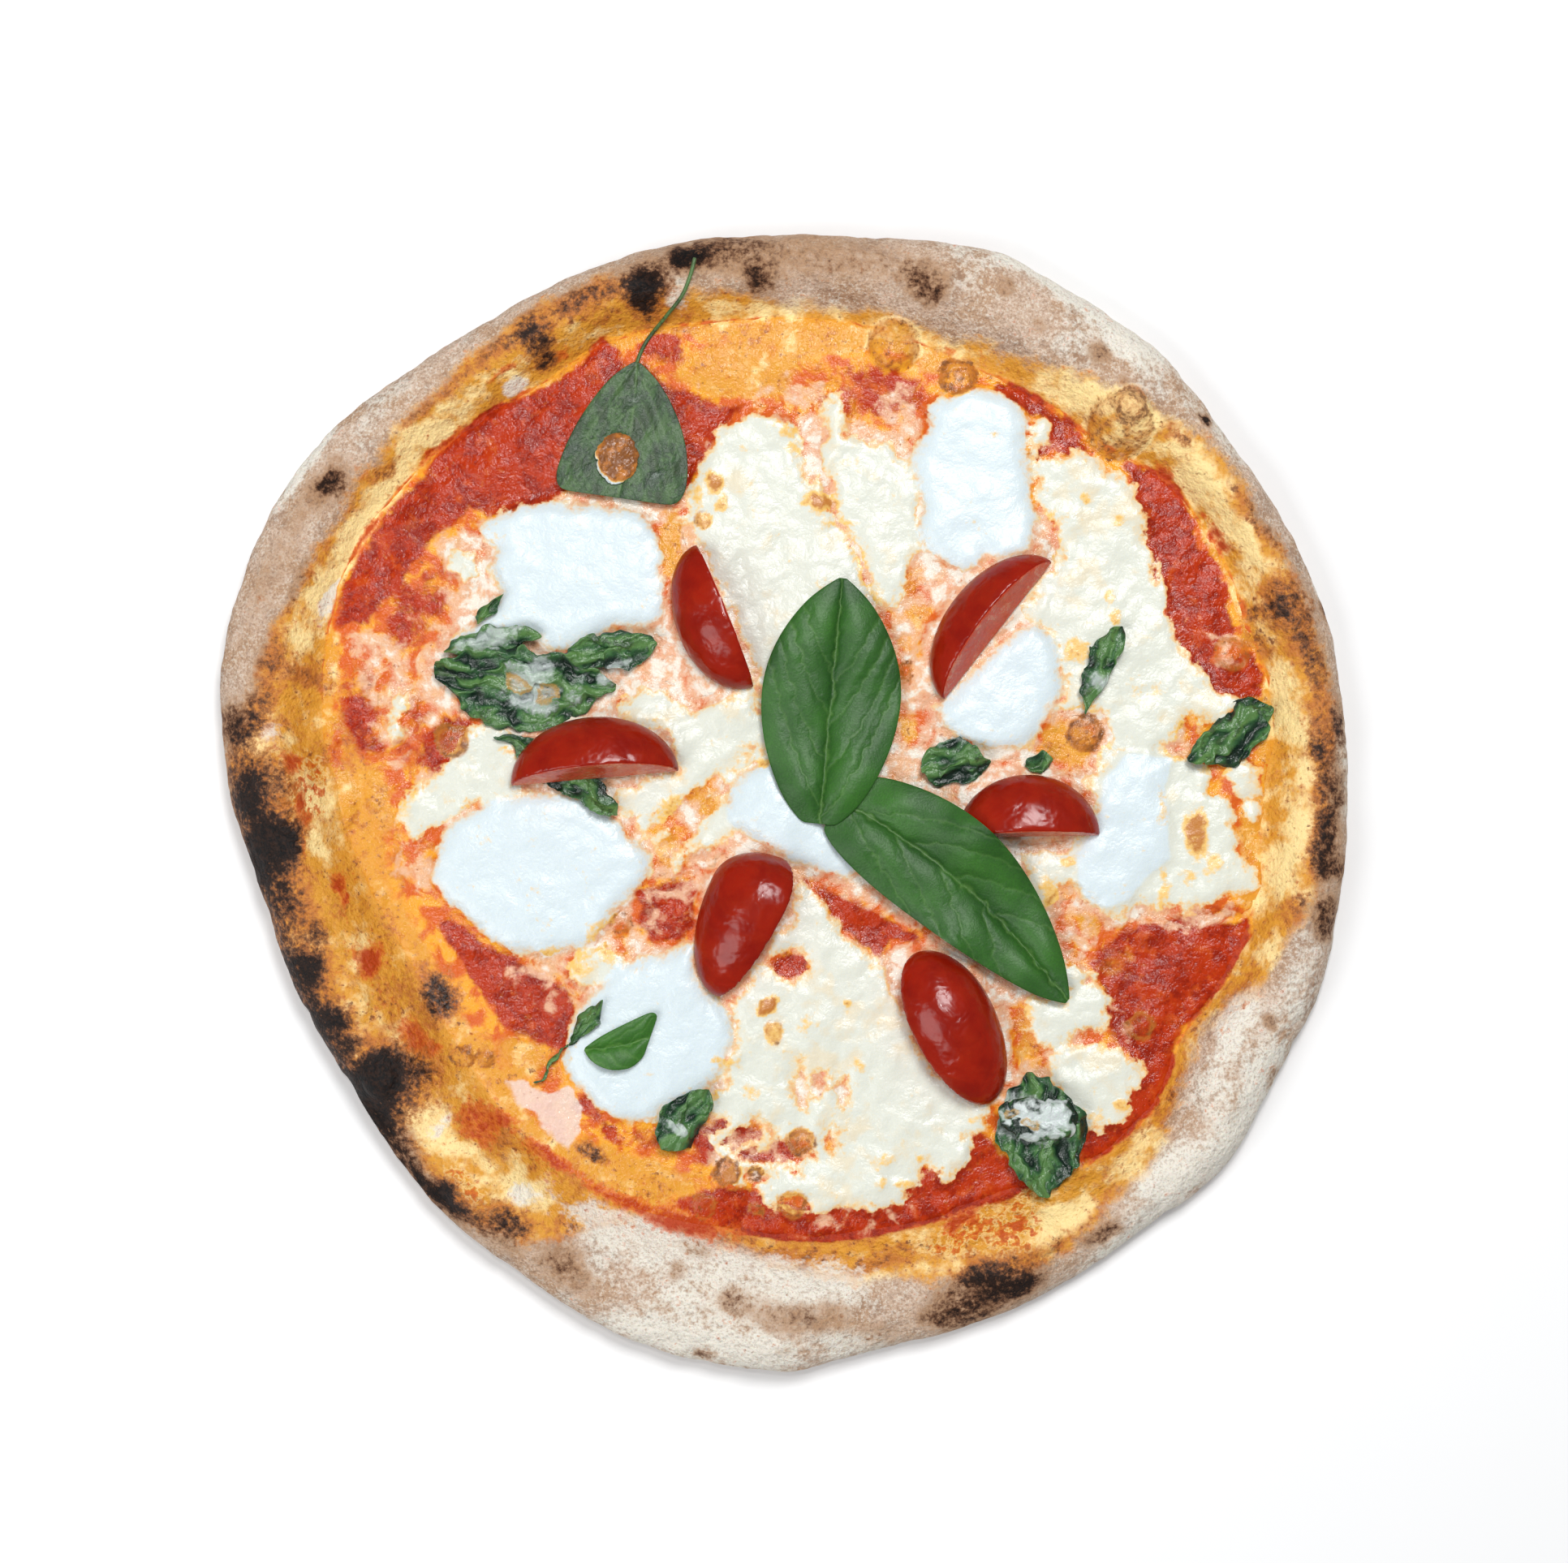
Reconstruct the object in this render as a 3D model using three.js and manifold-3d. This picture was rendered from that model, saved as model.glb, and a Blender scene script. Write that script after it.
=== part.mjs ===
// Margherita pizza, baked in a hot stone oven: a dough disc with a puffy rim, tomato sauce,
// melted mozzarella, tomato wedges, and both baked and fresh basil.
//
// Millimetres, +Z up. The origin is on the table, under the middle of the pizza.
// Angles run anticlockwise from +X, seen from above. Pieces are laid in the order in which
// the pizza is topped, and each one rests on what lies under it.

import * as THREE from "three";
import { mergeVertices } from "three/addons/utils/BufferGeometryUtils.js";
import Module from "manifold-3d";

const wasm = await Module();
wasm.setup();

// ---------------------------------------------------------------- driving dimensions

const DEG = Math.PI / 180;
const GAP = 0.35; // clearance between pieces that touch on the real pizza

const BASE_THICKNESS = 4;
// The dough's outer edge and the foot of its rim, one radius for every 10 degrees from +X.
const EDGE_RADII = [
  156, 157, 159, 159, 159.5, 163, 163, 164.5, 160, 158.5, 159, 159,
  158, 159.5, 164, 165, 163.5, 160, 154, 147.5, 146, 144, 145.5, 148.5,
  150, 154, 156.5, 157.5, 153.5, 153.5, 154, 154, 158, 155.5, 157, 156,
];
const FOOT_RADII = [
  131, 136.5, 137, 138.5, 137.5, 132, 131.5, 132, 134, 134.5, 135, 137,
  134.5, 135.5, 137.5, 138, 135, 130, 124, 118, 113, 112, 113, 116,
  118, 118.5, 117.5, 118.5, 119.5, 120.5, 122, 128.5, 130.5, 126, 130.5, 132.5,
];
const CREST_HEIGHT = 16.5; // top of the rim above the table
const CREST_SHARE = 0.56; // where the crest lies, as a share of the rim's width from its foot
const BELLY_HEIGHT = 6.5; // where the rim is widest
const TUCK = 10; // how far the underside curls in from the widest line
// Slow rises and falls along the crest: how many round the rim, how high, and the angle of one top.
const CREST_WAVES = [
  { count: 3, height: 1.1, top: 80 },
  { count: 5, height: 0.8, top: 262 },
  { count: 9, height: 0.6, top: 33 },
];
// Blisters in the rim, where the oven has blown the dough up.
const BLISTERS = [
  { x: -137, y: 6, radius: 13, height: 3.6 },
  { x: -136, y: 40, radius: 9, height: 2.2 },
  { x: -112, y: -76, radius: 11, height: 2.6 },
  { x: -84, y: -101, radius: 13, height: 3.2 },
  { x: 60, y: -124, radius: 13, height: 3 },
  { x: 92, y: 106, radius: 9, height: 3.2 },
  { x: 29, y: 130, radius: 7, height: 2.8 },
  { x: 134, y: 52, radius: 11, height: 2.4 },
  { x: 150, y: 18, radius: 11, height: 2 },
  { x: -40, y: 143, radius: 10, height: 2 },
  { x: 2, y: -146, radius: 16, height: 2.2 },
  { x: 122, y: -88, radius: 13, height: 2 },
];

const SAUCE_THICKNESS = 1.7;
const SAUCE_BAND = { share: 0.91, spread: 0.05, height: 0.7 }; // the thicker sauce inside the rim

// Melted mozzarella. Each slice has its middle, thickness, and one radius for every 30 degrees.
const MOZZARELLA = {
  upper_left: { at: [-62, 65], thick: 2.8, radii: [28, 28.5, 22, 19, 20, 24, 25, 22, 21.5, 21.5, 20.5, 28] },
  lower_left: { at: [-70, -18], thick: 2.8, radii: [32, 29, 23, 21, 23, 28, 28, 26, 23, 22, 25, 28] },
  upper_right: { at: [50, 90], thick: 2.8, radii: [18, 20, 25, 24, 21, 17, 16.5, 18, 22, 27, 21, 19] },
  middle_right: { at: [61, 37], thick: 2.6, radii: [18, 20, 22, 15, 12, 12, 17, 20, 23, 23, 22, 20] },
  right: { at: [97, -4], thick: 2.8, radii: [26, 27, 24, 24, 20, 13, 14, 19, 26, 29, 28, 28] },
  top: { at: [-5, 70], thick: 2.4, radii: [21, 17, 21, 35, 35, 25, 20, 17, 24, 40, 31, 29] },
  top_lobe: { at: [22, 80], thick: 2.2, radii: [13, 14, 17, 21, 23, 15, 10, 9, 13, 20, 22, 16] },
  far_right: { at: [90, 60], thick: 2.2, radii: [15, 14, 18, 35, 37, 19, 14, 14, 20, 36, 36, 25] },
  bottom: { at: [12, -72], thick: 2.4, radii: [40, 26, 30, 45, 36, 33, 32, 34, 37, 40, 39, 49] },
  bottom_left: { at: [-37, -64], thick: 2.6, radii: [18, 21, 22, 22, 19, 18, 19, 24, 26, 27, 23, 20] },
  lower_right: { at: [85, -79], thick: 2.6, radii: [13.5, 13, 13, 12, 12, 13, 14, 13, 14, 12, 13, 14] },
  lower_right_lobe: { at: [78, -57], thick: 2, radii: [13, 13, 13, 11, 13, 15, 14, 14, 12, 10, 11, 13] },
  middle_left: { at: [-32, 14], thick: 2.2, radii: [25, 25, 16, 15, 16, 16, 18, 20, 20, 18, 17, 19] },
  middle: { at: [6, -4], thick: 2.4, radii: [26, 18, 14, 14, 17, 19, 20, 14, 9, 12, 18, 27] },
  left: { at: [-92, 8], thick: 1.8, radii: [16, 16, 13, 12, 12, 13, 14, 14, 12, 11, 11, 13] },
};
const CHEESE_DROPS = {
  drop_on_leaf: { at: [-47, 96], thick: 1.3, radii: [6, 6.6, 7, 7.2, 6.8, 6.2, 6, 6.4, 7.2, 7.4, 6.8, 6.2] },
  drop_lower_right: { at: [69, -86.5], thick: 1.6, radii: [11.5, 9.5, 7, 6.5, 7.5, 10, 11, 9.5, 7, 6.5, 7, 9.5] },
};

// Each tomato wedge is part of an egg shape. at is the egg's middle, turn the way its long axis points,
// and side the side of that axis where the skin bulges (1 is left). stub cuts the far end off square, as
// a share of the half length. The standing cut face leans by lean: outwards at its foot, or overhanging.
const TOMATOES = {
  upper: { at: [-16.5, 51], turn: 292, long: 46, wide: 14, tall: 11, lean: -0.1, stub: 0.86, side: -1 },
  left: { at: [-53, 7], turn: 5, long: 47, wide: 17.5, tall: 12, lean: 0.22, stub: 1, side: 1 },
  right: { at: [59, 48], turn: 52, long: 49, wide: 15.5, tall: 12, lean: 0.3, stub: 1, side: 1 },
  far_right: { at: [67, -9], turn: 1, long: 40, wide: 17.5, tall: 11, lean: 0.15, stub: 1, side: 1 },
  lower: { at: [-6, -26.4], turn: 63, long: 60, wide: 16, tall: 12, lean: -0.6, stub: 0.42, side: 1 },
  lower_right: { at: [44.6, -59.7], turn: 117, long: 52, wide: 13.2, tall: 12, lean: -1.5, stub: 0.8, side: -1 },
};
const SINK = 1.2; // a wedge rests this far above the sauce, in a pocket in the cheese

// Basil leaves, from the stem end to the tip. wide is the width at its widest, which is at share full of the
// length, and base and tip are the shares of it left at the two ends. bow bends the midrib to the left, skew
// carries the left side forward, cup lifts the edges, arch the middle, and crumple wrinkles a baked leaf.
const BAKED_LEAVES = {
  top_left: {
    from: [-41.5, 123], to: [-47, 85], wide: 37, full: 0.92, tip: 0.9, bow: 1, crumple: 0.5,
    stem: [[-38.5, 129.5], [-33.5, 134.8], [-28.6, 140.4], [-26.2, 146.3], [-25.2, 150.5]],
  },
  left_upper: { from: [-95, 43], to: [-68, 47], wide: 9, full: 0.5, crumple: 0.6 },
  left_big: { from: [-98, 38], to: [-48, 33], wide: 23, full: 0.48, bow: -3.5, crumple: 1 },
  left_small: { from: [-63, 41], to: [-35, 44.5], wide: 11, full: 0.6, crumple: 0.8 },
  under_tomato: { from: [-80, 20], to: [-46, -3], wide: 11, full: 0.5, bow: 1, crumple: 0.3 },
  by_left_cheese: { from: [-86, 50], to: [-79, 58], wide: 4, full: 0.5, crumple: 0.3 },
  right_small: { from: [83, 26], to: [93, 49], wide: 9, full: 0.6, bow: 2, crumple: 0.8 },
  far_right: { from: [111, 12], to: [133, 28], wide: 15, full: 0.65, tip: 0.4, bow: -2, crumple: 1.2 },
  middle_right: { from: [36, 9], to: [57, 12], wide: 13, full: 0.45, bow: 1, crumple: 0.8 },
  by_right_tomato: { from: [66, 11], to: [75, 13], wide: 5, full: 0.5, crumple: 0.3 },
  lower_right: { from: [67, -74], to: [71, -108], wide: 25, full: 0.5, bow: 2, crumple: 1 },
  bottom: { from: [-21, -79], to: [-35, -94], wide: 13, full: 0.65, tip: 0.3, crumple: 0.8 },
  bottom_left: {
    from: [-60, -67], to: [-51, -54], wide: 6, full: 0.5, crumple: 0.5,
    stem: [[-62, -69], [-66, -73], [-70, -77]],
  },
};
const FRESH_LEAVES = {
  lower: { from: [16, 1], to: [78, -54.5], wide: 33, full: 0.35, base: 0.6, bow: 4.8, cup: 2, arch: 1 },
  upper: { from: [9, -5.4], to: [15.6, 63], wide: 39.3, full: 0.52, base: 0.25, cup: 1.6, arch: 1 },
  small: { from: [-56, -67.6], to: [-37.5, -64], wide: 14.4, full: 0.9, tip: 0.75, bow: -1, skew: 0.58, cup: 1.6 },
};
const LEAF_THICKNESS = 0.7;
const LEAF_NARROW = 0.05; // width left at the ends of a leaf, as a share of its widest part
const STEM_DIAMETER = 1.2;

const COLOURS = {
  crust: 0xd0a878,
  sauce: 0xb8341a,
  mozzarella: 0xf1f1e6,
  toasted: 0xa06c34,
  tomato: 0xa81408,
  fresh_basil: 0x2f7a2a,
  baked_basil: 0x24472c,
};

// ---------------------------------------------------------------- shared geometry helpers

// A smooth closed curve through radii that are evenly spaced round a full turn.
function radiusAt(radii, angle) {
  const n = radii.length;
  const place = THREE.MathUtils.euclideanModulo(angle / (2 * Math.PI), 1) * n;
  const i = Math.floor(place) % n;
  const f = place - Math.floor(place);
  const [a, b, c, d] = [-1, 0, 1, 2].map((step) => radii[(i + step + n) % n]);
  return b + 0.5 * f * (c - a + f * (2 * a - 5 * b + 4 * c - d + f * (3 * (b - c) + d - a)));
}

// A closed body turned round Z whose section changes with the angle.
// section(angle) lists [radius, z] from the axis at the top to the axis at the bottom.
function turnedBody(section, segments) {
  const last = section(0).length - 1;
  const profile = Array.from({ length: last + 1 }, (_, i) => new THREE.Vector2(i % last ? 1 : 0, i));
  const geometry = new THREE.LatheGeometry(profile.reverse(), segments).rotateX(Math.PI / 2);
  const position = geometry.getAttribute("position");
  for (let v = 0; v < position.count; v++) {
    const angle = Math.atan2(position.getY(v), position.getX(v));
    const [radius, z] = section(angle)[Math.round(position.getZ(v))];
    position.setXYZ(v, radius * Math.cos(angle), radius * Math.sin(angle), z);
  }
  return geometry;
}

function toSolid(geometry) {
  const bare = geometry.clone();
  bare.deleteAttribute("normal");
  bare.deleteAttribute("uv");
  const merged = mergeVertices(bare, 1e-4);
  return new wasm.Manifold(
    new wasm.Mesh({
      numProp: 3,
      vertProperties: merged.attributes.position.array,
      triVerts: merged.index.array,
    }),
  );
}

// Back from a solid to a three.js geometry. A cut can leave crumbs, so only the largest body is kept.
function toGeometry(solid) {
  const [whole] = solid.decompose().sort((a, b) => b.volume() - a.volume());
  const mesh = whole.getMesh();
  return new THREE.BufferGeometry()
    .setAttribute("position", new THREE.BufferAttribute(mesh.vertProperties, 3))
    .setIndex(new THREE.BufferAttribute(mesh.triVerts, 1));
}

// ---------------------------------------------------------------- the pizza and what is laid on it

const pizza = new THREE.Group();
pizza.name = "margherita_pizza";

function lay(name, geometry, { colour, roughness }, place = {}) {
  const material = new THREE.MeshStandardMaterial({ color: colour, roughness, metalness: 0 });
  const mesh = new THREE.Mesh(geometry, material);
  mesh.name = name;
  mesh.position.set(place.x ?? 0, place.y ?? 0, place.z ?? 0);
  mesh.rotation.z = place.turn ?? 0;
  mesh.updateMatrixWorld();
  pizza.add(mesh);
  return mesh;
}

const ray = new THREE.Raycaster();
const RAY_HEIGHT = 100;

// The height of whatever lies uppermost at x, y, among the meshes that are wanted.
function heightAt(x, y, wanted) {
  ray.set(new THREE.Vector3(x, y, RAY_HEIGHT), new THREE.Vector3(0, 0, -1));
  const [hit] = ray.intersectObjects(pizza.children.filter(wanted));
  return hit ? hit.point.z : 0;
}

// The highest thing under a set of points.
const highestUnder = (points, wanted = () => true) => Math.max(...points.map(([x, y]) => heightAt(x, y, wanted)));

// ---------------------------------------------------------------- dough

const CENTRE_RINGS = [0, 0.5, 1]; // shares of the foot radius
const INNER_STEPS = 5; // rings up the inner slope
const OUTER_STEPS = 5; // rings over the crest and down the outside
const UNDER_STEPS = 2; // rings under the belly

function crestHeight(angle) {
  return CREST_WAVES.reduce(
    (sum, { count, height, top }) => sum + height * Math.cos(count * (angle - top * DEG)),
    CREST_HEIGHT,
  );
}

function blisterHeight(x, y) {
  return BLISTERS.reduce((sum, b) => {
    const away = Math.hypot(x - b.x, y - b.y) / b.radius;
    return sum + b.height * Math.exp(-1.6 * away * away);
  }, 0);
}

function crustSection(angle) {
  const edge = radiusAt(EDGE_RADII, angle);
  const foot = radiusAt(FOOT_RADII, angle);
  const crest = foot + CREST_SHARE * (edge - foot);
  const top = crestHeight(angle);
  const flat = CENTRE_RINGS.map((share) => [share * foot, BASE_THICKNESS]);
  const inner = Array.from({ length: INNER_STEPS }, (_, i) => {
    const t = (i + 1) / INNER_STEPS;
    return [foot + t * (crest - foot), BASE_THICKNESS + (top - BASE_THICKNESS) * Math.sin((t * Math.PI) / 2) ** 1.3];
  });
  const outer = Array.from({ length: OUTER_STEPS }, (_, i) => {
    const t = (((i + 1) / OUTER_STEPS) * Math.PI) / 2;
    return [crest + Math.sin(t) * (edge - crest), BELLY_HEIGHT + Math.cos(t) * (top - BELLY_HEIGHT)];
  });
  const raised = [...inner, ...outer.slice(0, -1)].map(([radius, z]) => [
    radius,
    z + blisterHeight(radius * Math.cos(angle), radius * Math.sin(angle)),
  ]);
  const under = Array.from({ length: UNDER_STEPS }, (_, i) => {
    const t = (((i + 1) / UNDER_STEPS) * Math.PI) / 2;
    return [edge - TUCK * (1 - Math.cos(t)), BELLY_HEIGHT * (1 - Math.sin(t))];
  });
  return [...flat, ...raised, outer[OUTER_STEPS - 1], ...under, [0.5 * foot, 0], [0, 0]];
}

const CRUST_SEGMENTS = 120;
lay("crust", turnedBody(crustSection, CRUST_SEGMENTS), { colour: COLOURS.crust, roughness: 0.85 });

// ---------------------------------------------------------------- sauce

const SAUCE_RINGS = [0, 0.2, 0.4, 0.6, 0.78, 0.91, 1];
const SAUCE_EDGE = 1.5; // the sauce stops this far inside the foot of the rim
const SAUCE_SEGMENTS = 72;

function sauceSection(angle) {
  const reach = radiusAt(FOOT_RADII, angle) - SAUCE_EDGE;
  const low = BASE_THICKNESS + GAP;
  const top = SAUCE_RINGS.map((share) => {
    const band = SAUCE_BAND.height * Math.exp(-(((share - SAUCE_BAND.share) / SAUCE_BAND.spread) ** 2));
    const lumps = share === 1 || share === 0 ? 0 : 0.25 * Math.sin(7 * angle + 9 * share);
    const body = share === 1 ? 0.5 * SAUCE_THICKNESS : SAUCE_THICKNESS;
    return [share * reach, low + body + band + lumps];
  });
  return [...top, [reach, low], [0, low]];
}

lay("tomato_sauce", turnedBody(sauceSection, SAUCE_SEGMENTS), { colour: COLOURS.sauce, roughness: 0.35 });

// ---------------------------------------------------------------- mozzarella

// The slice's section, as shares of its radius and of its thickness, from the middle of its top.
const SLICE_SECTION = [
  [0, 1],
  [0.55, 0.96],
  [0.86, 0.76],
  [1, 0.25],
  [0.97, 0],
  [0, 0],
];
const SLICE_SEGMENTS = 24;
const PLUG_HEIGHT = 10;

function slice({ radii, thick }) {
  return turnedBody(
    (angle) => SLICE_SECTION.map(([share, level]) => [share * radiusAt(radii, angle), level * thick]),
    SLICE_SEGMENTS,
  );
}

// A straight-sided plug with clearance round the slice, for cutting a neighbour back from it.
function plug({ radii }) {
  return turnedBody((angle) => {
    const reach = radiusAt(radii, angle) + GAP;
    return [[0, PLUG_HEIGHT], [reach, PLUG_HEIGHT], [reach, -PLUG_HEIGHT], [0, -PLUG_HEIGHT]];
  }, SLICE_SEGMENTS);
}

function outlinePoints({ at, radii }) {
  const round = Array.from({ length: SLICE_SEGMENTS }, (_, i) => (i * 2 * Math.PI) / SLICE_SEGMENTS);
  return [at, ...[0.35, 0.7, 1].flatMap((share) =>
    round.map((a) => [
      at[0] + share * radiusAt(radii, a) * Math.cos(a),
      at[1] + share * radiusAt(radii, a) * Math.sin(a),
    ]),
  )];
}

const cheeseFinish = { colour: COLOURS.mozzarella, roughness: 0.3 };
const saucedTop = highestUnder(Object.values(MOZZARELLA).flatMap(outlinePoints));
const plugs = [];

for (const [name, spec] of Object.entries(MOZZARELLA)) {
  const [x, y] = spec.at;
  const body = plugs.reduce((left, cutter) => left.subtract(cutter.translate(-x, -y, 0)), toSolid(slice(spec)));
  lay(`mozzarella_${name}`, toGeometry(body), cheeseFinish, { x, y, z: saucedTop + GAP });
  plugs.push(toSolid(plug(spec)).translate(x, y, 0));
}

// ---------------------------------------------------------------- basil

// A thin sheet of nu by nv cells, its upper and lower face split into triangles alike.
// place(i, j) gives [x, y, z] of the lower face at grid corner i, j.
function sheetBody(nu, nv, place, thickness) {
  const corner = (i, j, upper) => ((upper ? 1 : 0) * (nu + 1) + i) * (nv + 1) + j;
  const positions = [];
  for (const upper of [0, 1]) {
    for (let i = 0; i <= nu; i++) {
      for (let j = 0; j <= nv; j++) {
        const [x, y, z] = place(i, j);
        positions.push(x, y, z + upper * thickness);
      }
    }
  }
  const index = [];
  const quad = (a, b, c, d) => index.push(a, b, c, a, c, d);
  for (let i = 0; i < nu; i++) {
    for (let j = 0; j < nv; j++) {
      const [a, b, c, d] = [[i, j], [i + 1, j], [i + 1, j + 1], [i, j + 1]].map(([p, q]) => corner(p, q, true));
      quad(a, b, c, d);
      const below = (nu + 1) * (nv + 1);
      index.push(a - below, c - below, b - below, a - below, d - below, c - below);
    }
  }
  for (let i = 0; i < nu; i++) {
    quad(corner(i, 0, false), corner(i + 1, 0, false), corner(i + 1, 0, true), corner(i, 0, true));
    quad(corner(i + 1, nv, false), corner(i, nv, false), corner(i, nv, true), corner(i + 1, nv, true));
  }
  for (let j = 0; j < nv; j++) {
    quad(corner(0, j + 1, false), corner(0, j, false), corner(0, j, true), corner(0, j + 1, true));
    quad(corner(nu, j, false), corner(nu, j + 1, false), corner(nu, j + 1, true), corner(nu, j, true));
  }
  return new THREE.BufferGeometry()
    .setAttribute("position", new THREE.Float32BufferAttribute(positions, 3))
    .setIndex(index);
}

// How wide a leaf is at share u of its length, as a share of its widest part.
function leafWidth(u, { full, base = LEAF_NARROW, tip = LEAF_NARROW }) {
  const [t, end] = u < full ? [u / full, base] : [(1 - u) / (1 - full), tip];
  return end + (1 - end) * Math.sin((t * Math.PI) / 2) ** 0.72;
}

const DRAPE_REACH = 2.2; // how far round each point a leaf feels for what it lies on
const DRAPE_PASSES = 12;

// Lays a grid of points over the pizza: each is held up by what is under it and by its neighbours.
function drape(points, nu, nv) {
  const around = [[0, 0], [1, 0], [-1, 0], [0, 1], [0, -1]].map((step) => step.map((s) => s * DRAPE_REACH));
  const floor = points.map((row) => row.map(([x, y]) => GAP + highestUnder(around.map(([a, b]) => [x + a, y + b]))));
  let heights = floor;
  for (let pass = 0; pass < DRAPE_PASSES; pass++) {
    const last = heights;
    heights = floor.map((row, i) =>
      row.map((low, j) => {
        const near = [[i - 1, j], [i + 1, j], [i, j - 1], [i, j + 1]]
          .filter(([p, q]) => p >= 0 && p <= nu && q >= 0 && q <= nv)
          .map(([p, q]) => last[p][q]);
        return Math.max(low, near.reduce((sum, z) => sum + z, 0) / near.length);
      }),
    );
  }
  return heights;
}

function leaf(spec, nu, nv) {
  const { from, to, wide, bow = 0, skew = 0, cup = 0, arch = 0, crumple = 0 } = spec;
  const [x, y] = from;
  const long = Math.hypot(to[0] - x, to[1] - y);
  const turn = Math.atan2(to[1] - y, to[0] - x);
  const flat = Array.from({ length: nu + 1 }, (_, i) =>
    Array.from({ length: nv + 1 }, (_, j) => {
      const u = i / nu;
      const v = (2 * j) / nv - 1;
      const aside = (v * wide * leafWidth(u, spec)) / 2;
      return [u * long + skew * aside, aside + bow * Math.sin(Math.PI * u)];
    }),
  );
  const onPizza = flat.map((row) =>
    row.map(([a, b]) => [x + a * Math.cos(turn) - b * Math.sin(turn), y + a * Math.sin(turn) + b * Math.cos(turn)]),
  );
  const heights = drape(onPizza, nu, nv);
  const rise = (i, j) => {
    const u = i / nu;
    const v = (2 * j) / nv - 1;
    const wrinkle = crumple * (1 + Math.sin(11 * u + 5 * v)) * 0.5;
    return wrinkle + (cup * v * v + arch * (1 - v * v)) * Math.sin(Math.PI * u);
  };
  const place = (i, j) => [...flat[i][j], heights[i][j] + rise(i, j)];
  return { geometry: sheetBody(nu, nv, place, LEAF_THICKNESS), at: { x, y, turn } };
}

// A round stem from the leaf's base outwards, lying on the pizza. points are on the pizza.
function stem(base, points) {
  const route = [base, ...points];
  const radius = STEM_DIAMETER / 2;
  const reach = [[0, 0], [2, 0], [-2, 0], [0, 2], [0, -2]];
  const lifted = new THREE.CatmullRomCurve3(route.map(([x, y]) => new THREE.Vector3(x, y, 0)))
    .getSpacedPoints(3 * route.length)
    .map((p) => p.setZ(GAP + radius + highestUnder(reach.map(([a, b]) => [p.x + a, p.y + b]))));
  const section = new THREE.Shape().absarc(0, 0, radius, 0, 2 * Math.PI);
  return new THREE.ExtrudeGeometry(section, {
    extrudePath: new THREE.CatmullRomCurve3(lifted),
    steps: 4 * route.length,
    curveSegments: 4,
    bevelEnabled: false,
  });
}

const STEM_JOIN = 4; // how far the stem runs in along the leaf

function layLeaf(name, spec, [nu, nv], finish) {
  const { geometry, at } = leaf(spec, nu, nv);
  if (!spec.stem) return lay(name, geometry, finish, at);
  const [x, y] = spec.from;
  const joint = [x + STEM_JOIN * Math.cos(at.turn), y + STEM_JOIN * Math.sin(at.turn)];
  const stalk = toSolid(stem(joint, [spec.from, ...spec.stem])).translate(-x, -y, 0).rotate(0, 0, -at.turn / DEG);
  return lay(name, toGeometry(toSolid(geometry).add(stalk)), finish, at);
}

const bakedFinish = { colour: COLOURS.baked_basil, roughness: 0.35 };
for (const [name, spec] of Object.entries(BAKED_LEAVES)) {
  layLeaf(`baked_basil_${name}`, spec, spec.wide > 15 ? [10, 6] : [7, 4], bakedFinish);
}

for (const [name, spec] of Object.entries(CHEESE_DROPS)) {
  const [x, y] = spec.at;
  const z = highestUnder(outlinePoints(spec)) + GAP;
  const colour = name === "drop_on_leaf" ? COLOURS.toasted : COLOURS.mozzarella;
  lay(`mozzarella_${name}`, slice(spec), { colour, roughness: 0.4 }, { x, y, z });
}

// ---------------------------------------------------------------- tomato wedges

const WEDGE_BLOCK = 80; // side of the blocks that make a wedge's cuts

// Part of an egg-shaped tomato with its long axis on X: cut flat underneath, along its length,
// where the standing cut face leans, and square at the far end.
function wedge({ long, wide, tall, lean, stub, side }) {
  const egg = new THREE.SphereGeometry(1, 20, 14).rotateZ(-Math.PI / 2);
  const whole = toSolid(egg.scale(long / 2, wide, tall));
  const over = toSolid(new THREE.BoxGeometry(WEDGE_BLOCK, WEDGE_BLOCK, WEDGE_BLOCK).translate(0, 0, WEDGE_BLOCK / 2));
  const beside = toSolid(
    new THREE.BoxGeometry(WEDGE_BLOCK, WEDGE_BLOCK, WEDGE_BLOCK)
      .translate(0, (side * WEDGE_BLOCK) / 2, 0)
      .rotateX(-side * Math.atan(lean)),
  );
  const before = toSolid(
    new THREE.BoxGeometry(WEDGE_BLOCK, WEDGE_BLOCK, WEDGE_BLOCK).translate((stub * long - WEDGE_BLOCK) / 2, 0, 0),
  );
  return toGeometry(whole.intersect(over).intersect(beside).intersect(before));
}

function wedgeFootprint({ at: [x, y], turn, long, wide, side }) {
  const points = [];
  for (const u of [-0.9, -0.6, -0.3, 0, 0.3, 0.6, 0.9]) {
    for (const v of [0, 0.5, 1]) {
      const a = (u * long) / 2;
      const b = side * v * wide * Math.sqrt(1 - u * u);
      points.push([
        x + a * Math.cos(turn * DEG) - b * Math.sin(turn * DEG),
        y + a * Math.sin(turn * DEG) + b * Math.cos(turn * DEG),
      ]);
    }
  }
  return points;
}

// The wedge with clearance all round it, in the pizza's frame, for cutting its pocket in the cheese.
function pocket(spec, z) {
  const grown = { ...spec, long: spec.long + 4 * GAP, wide: spec.wide + 2 * GAP, tall: spec.tall + 2 * GAP };
  return toSolid(wedge(grown))
    .translate(0, -spec.side * GAP, -GAP)
    .rotate(0, 0, spec.turn)
    .translate(spec.at[0], spec.at[1], z);
}

const onLeaf = (mesh) => mesh.name.startsWith("baked_basil");
const isCheese = (mesh) => mesh.name.startsWith("mozzarella");

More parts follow.
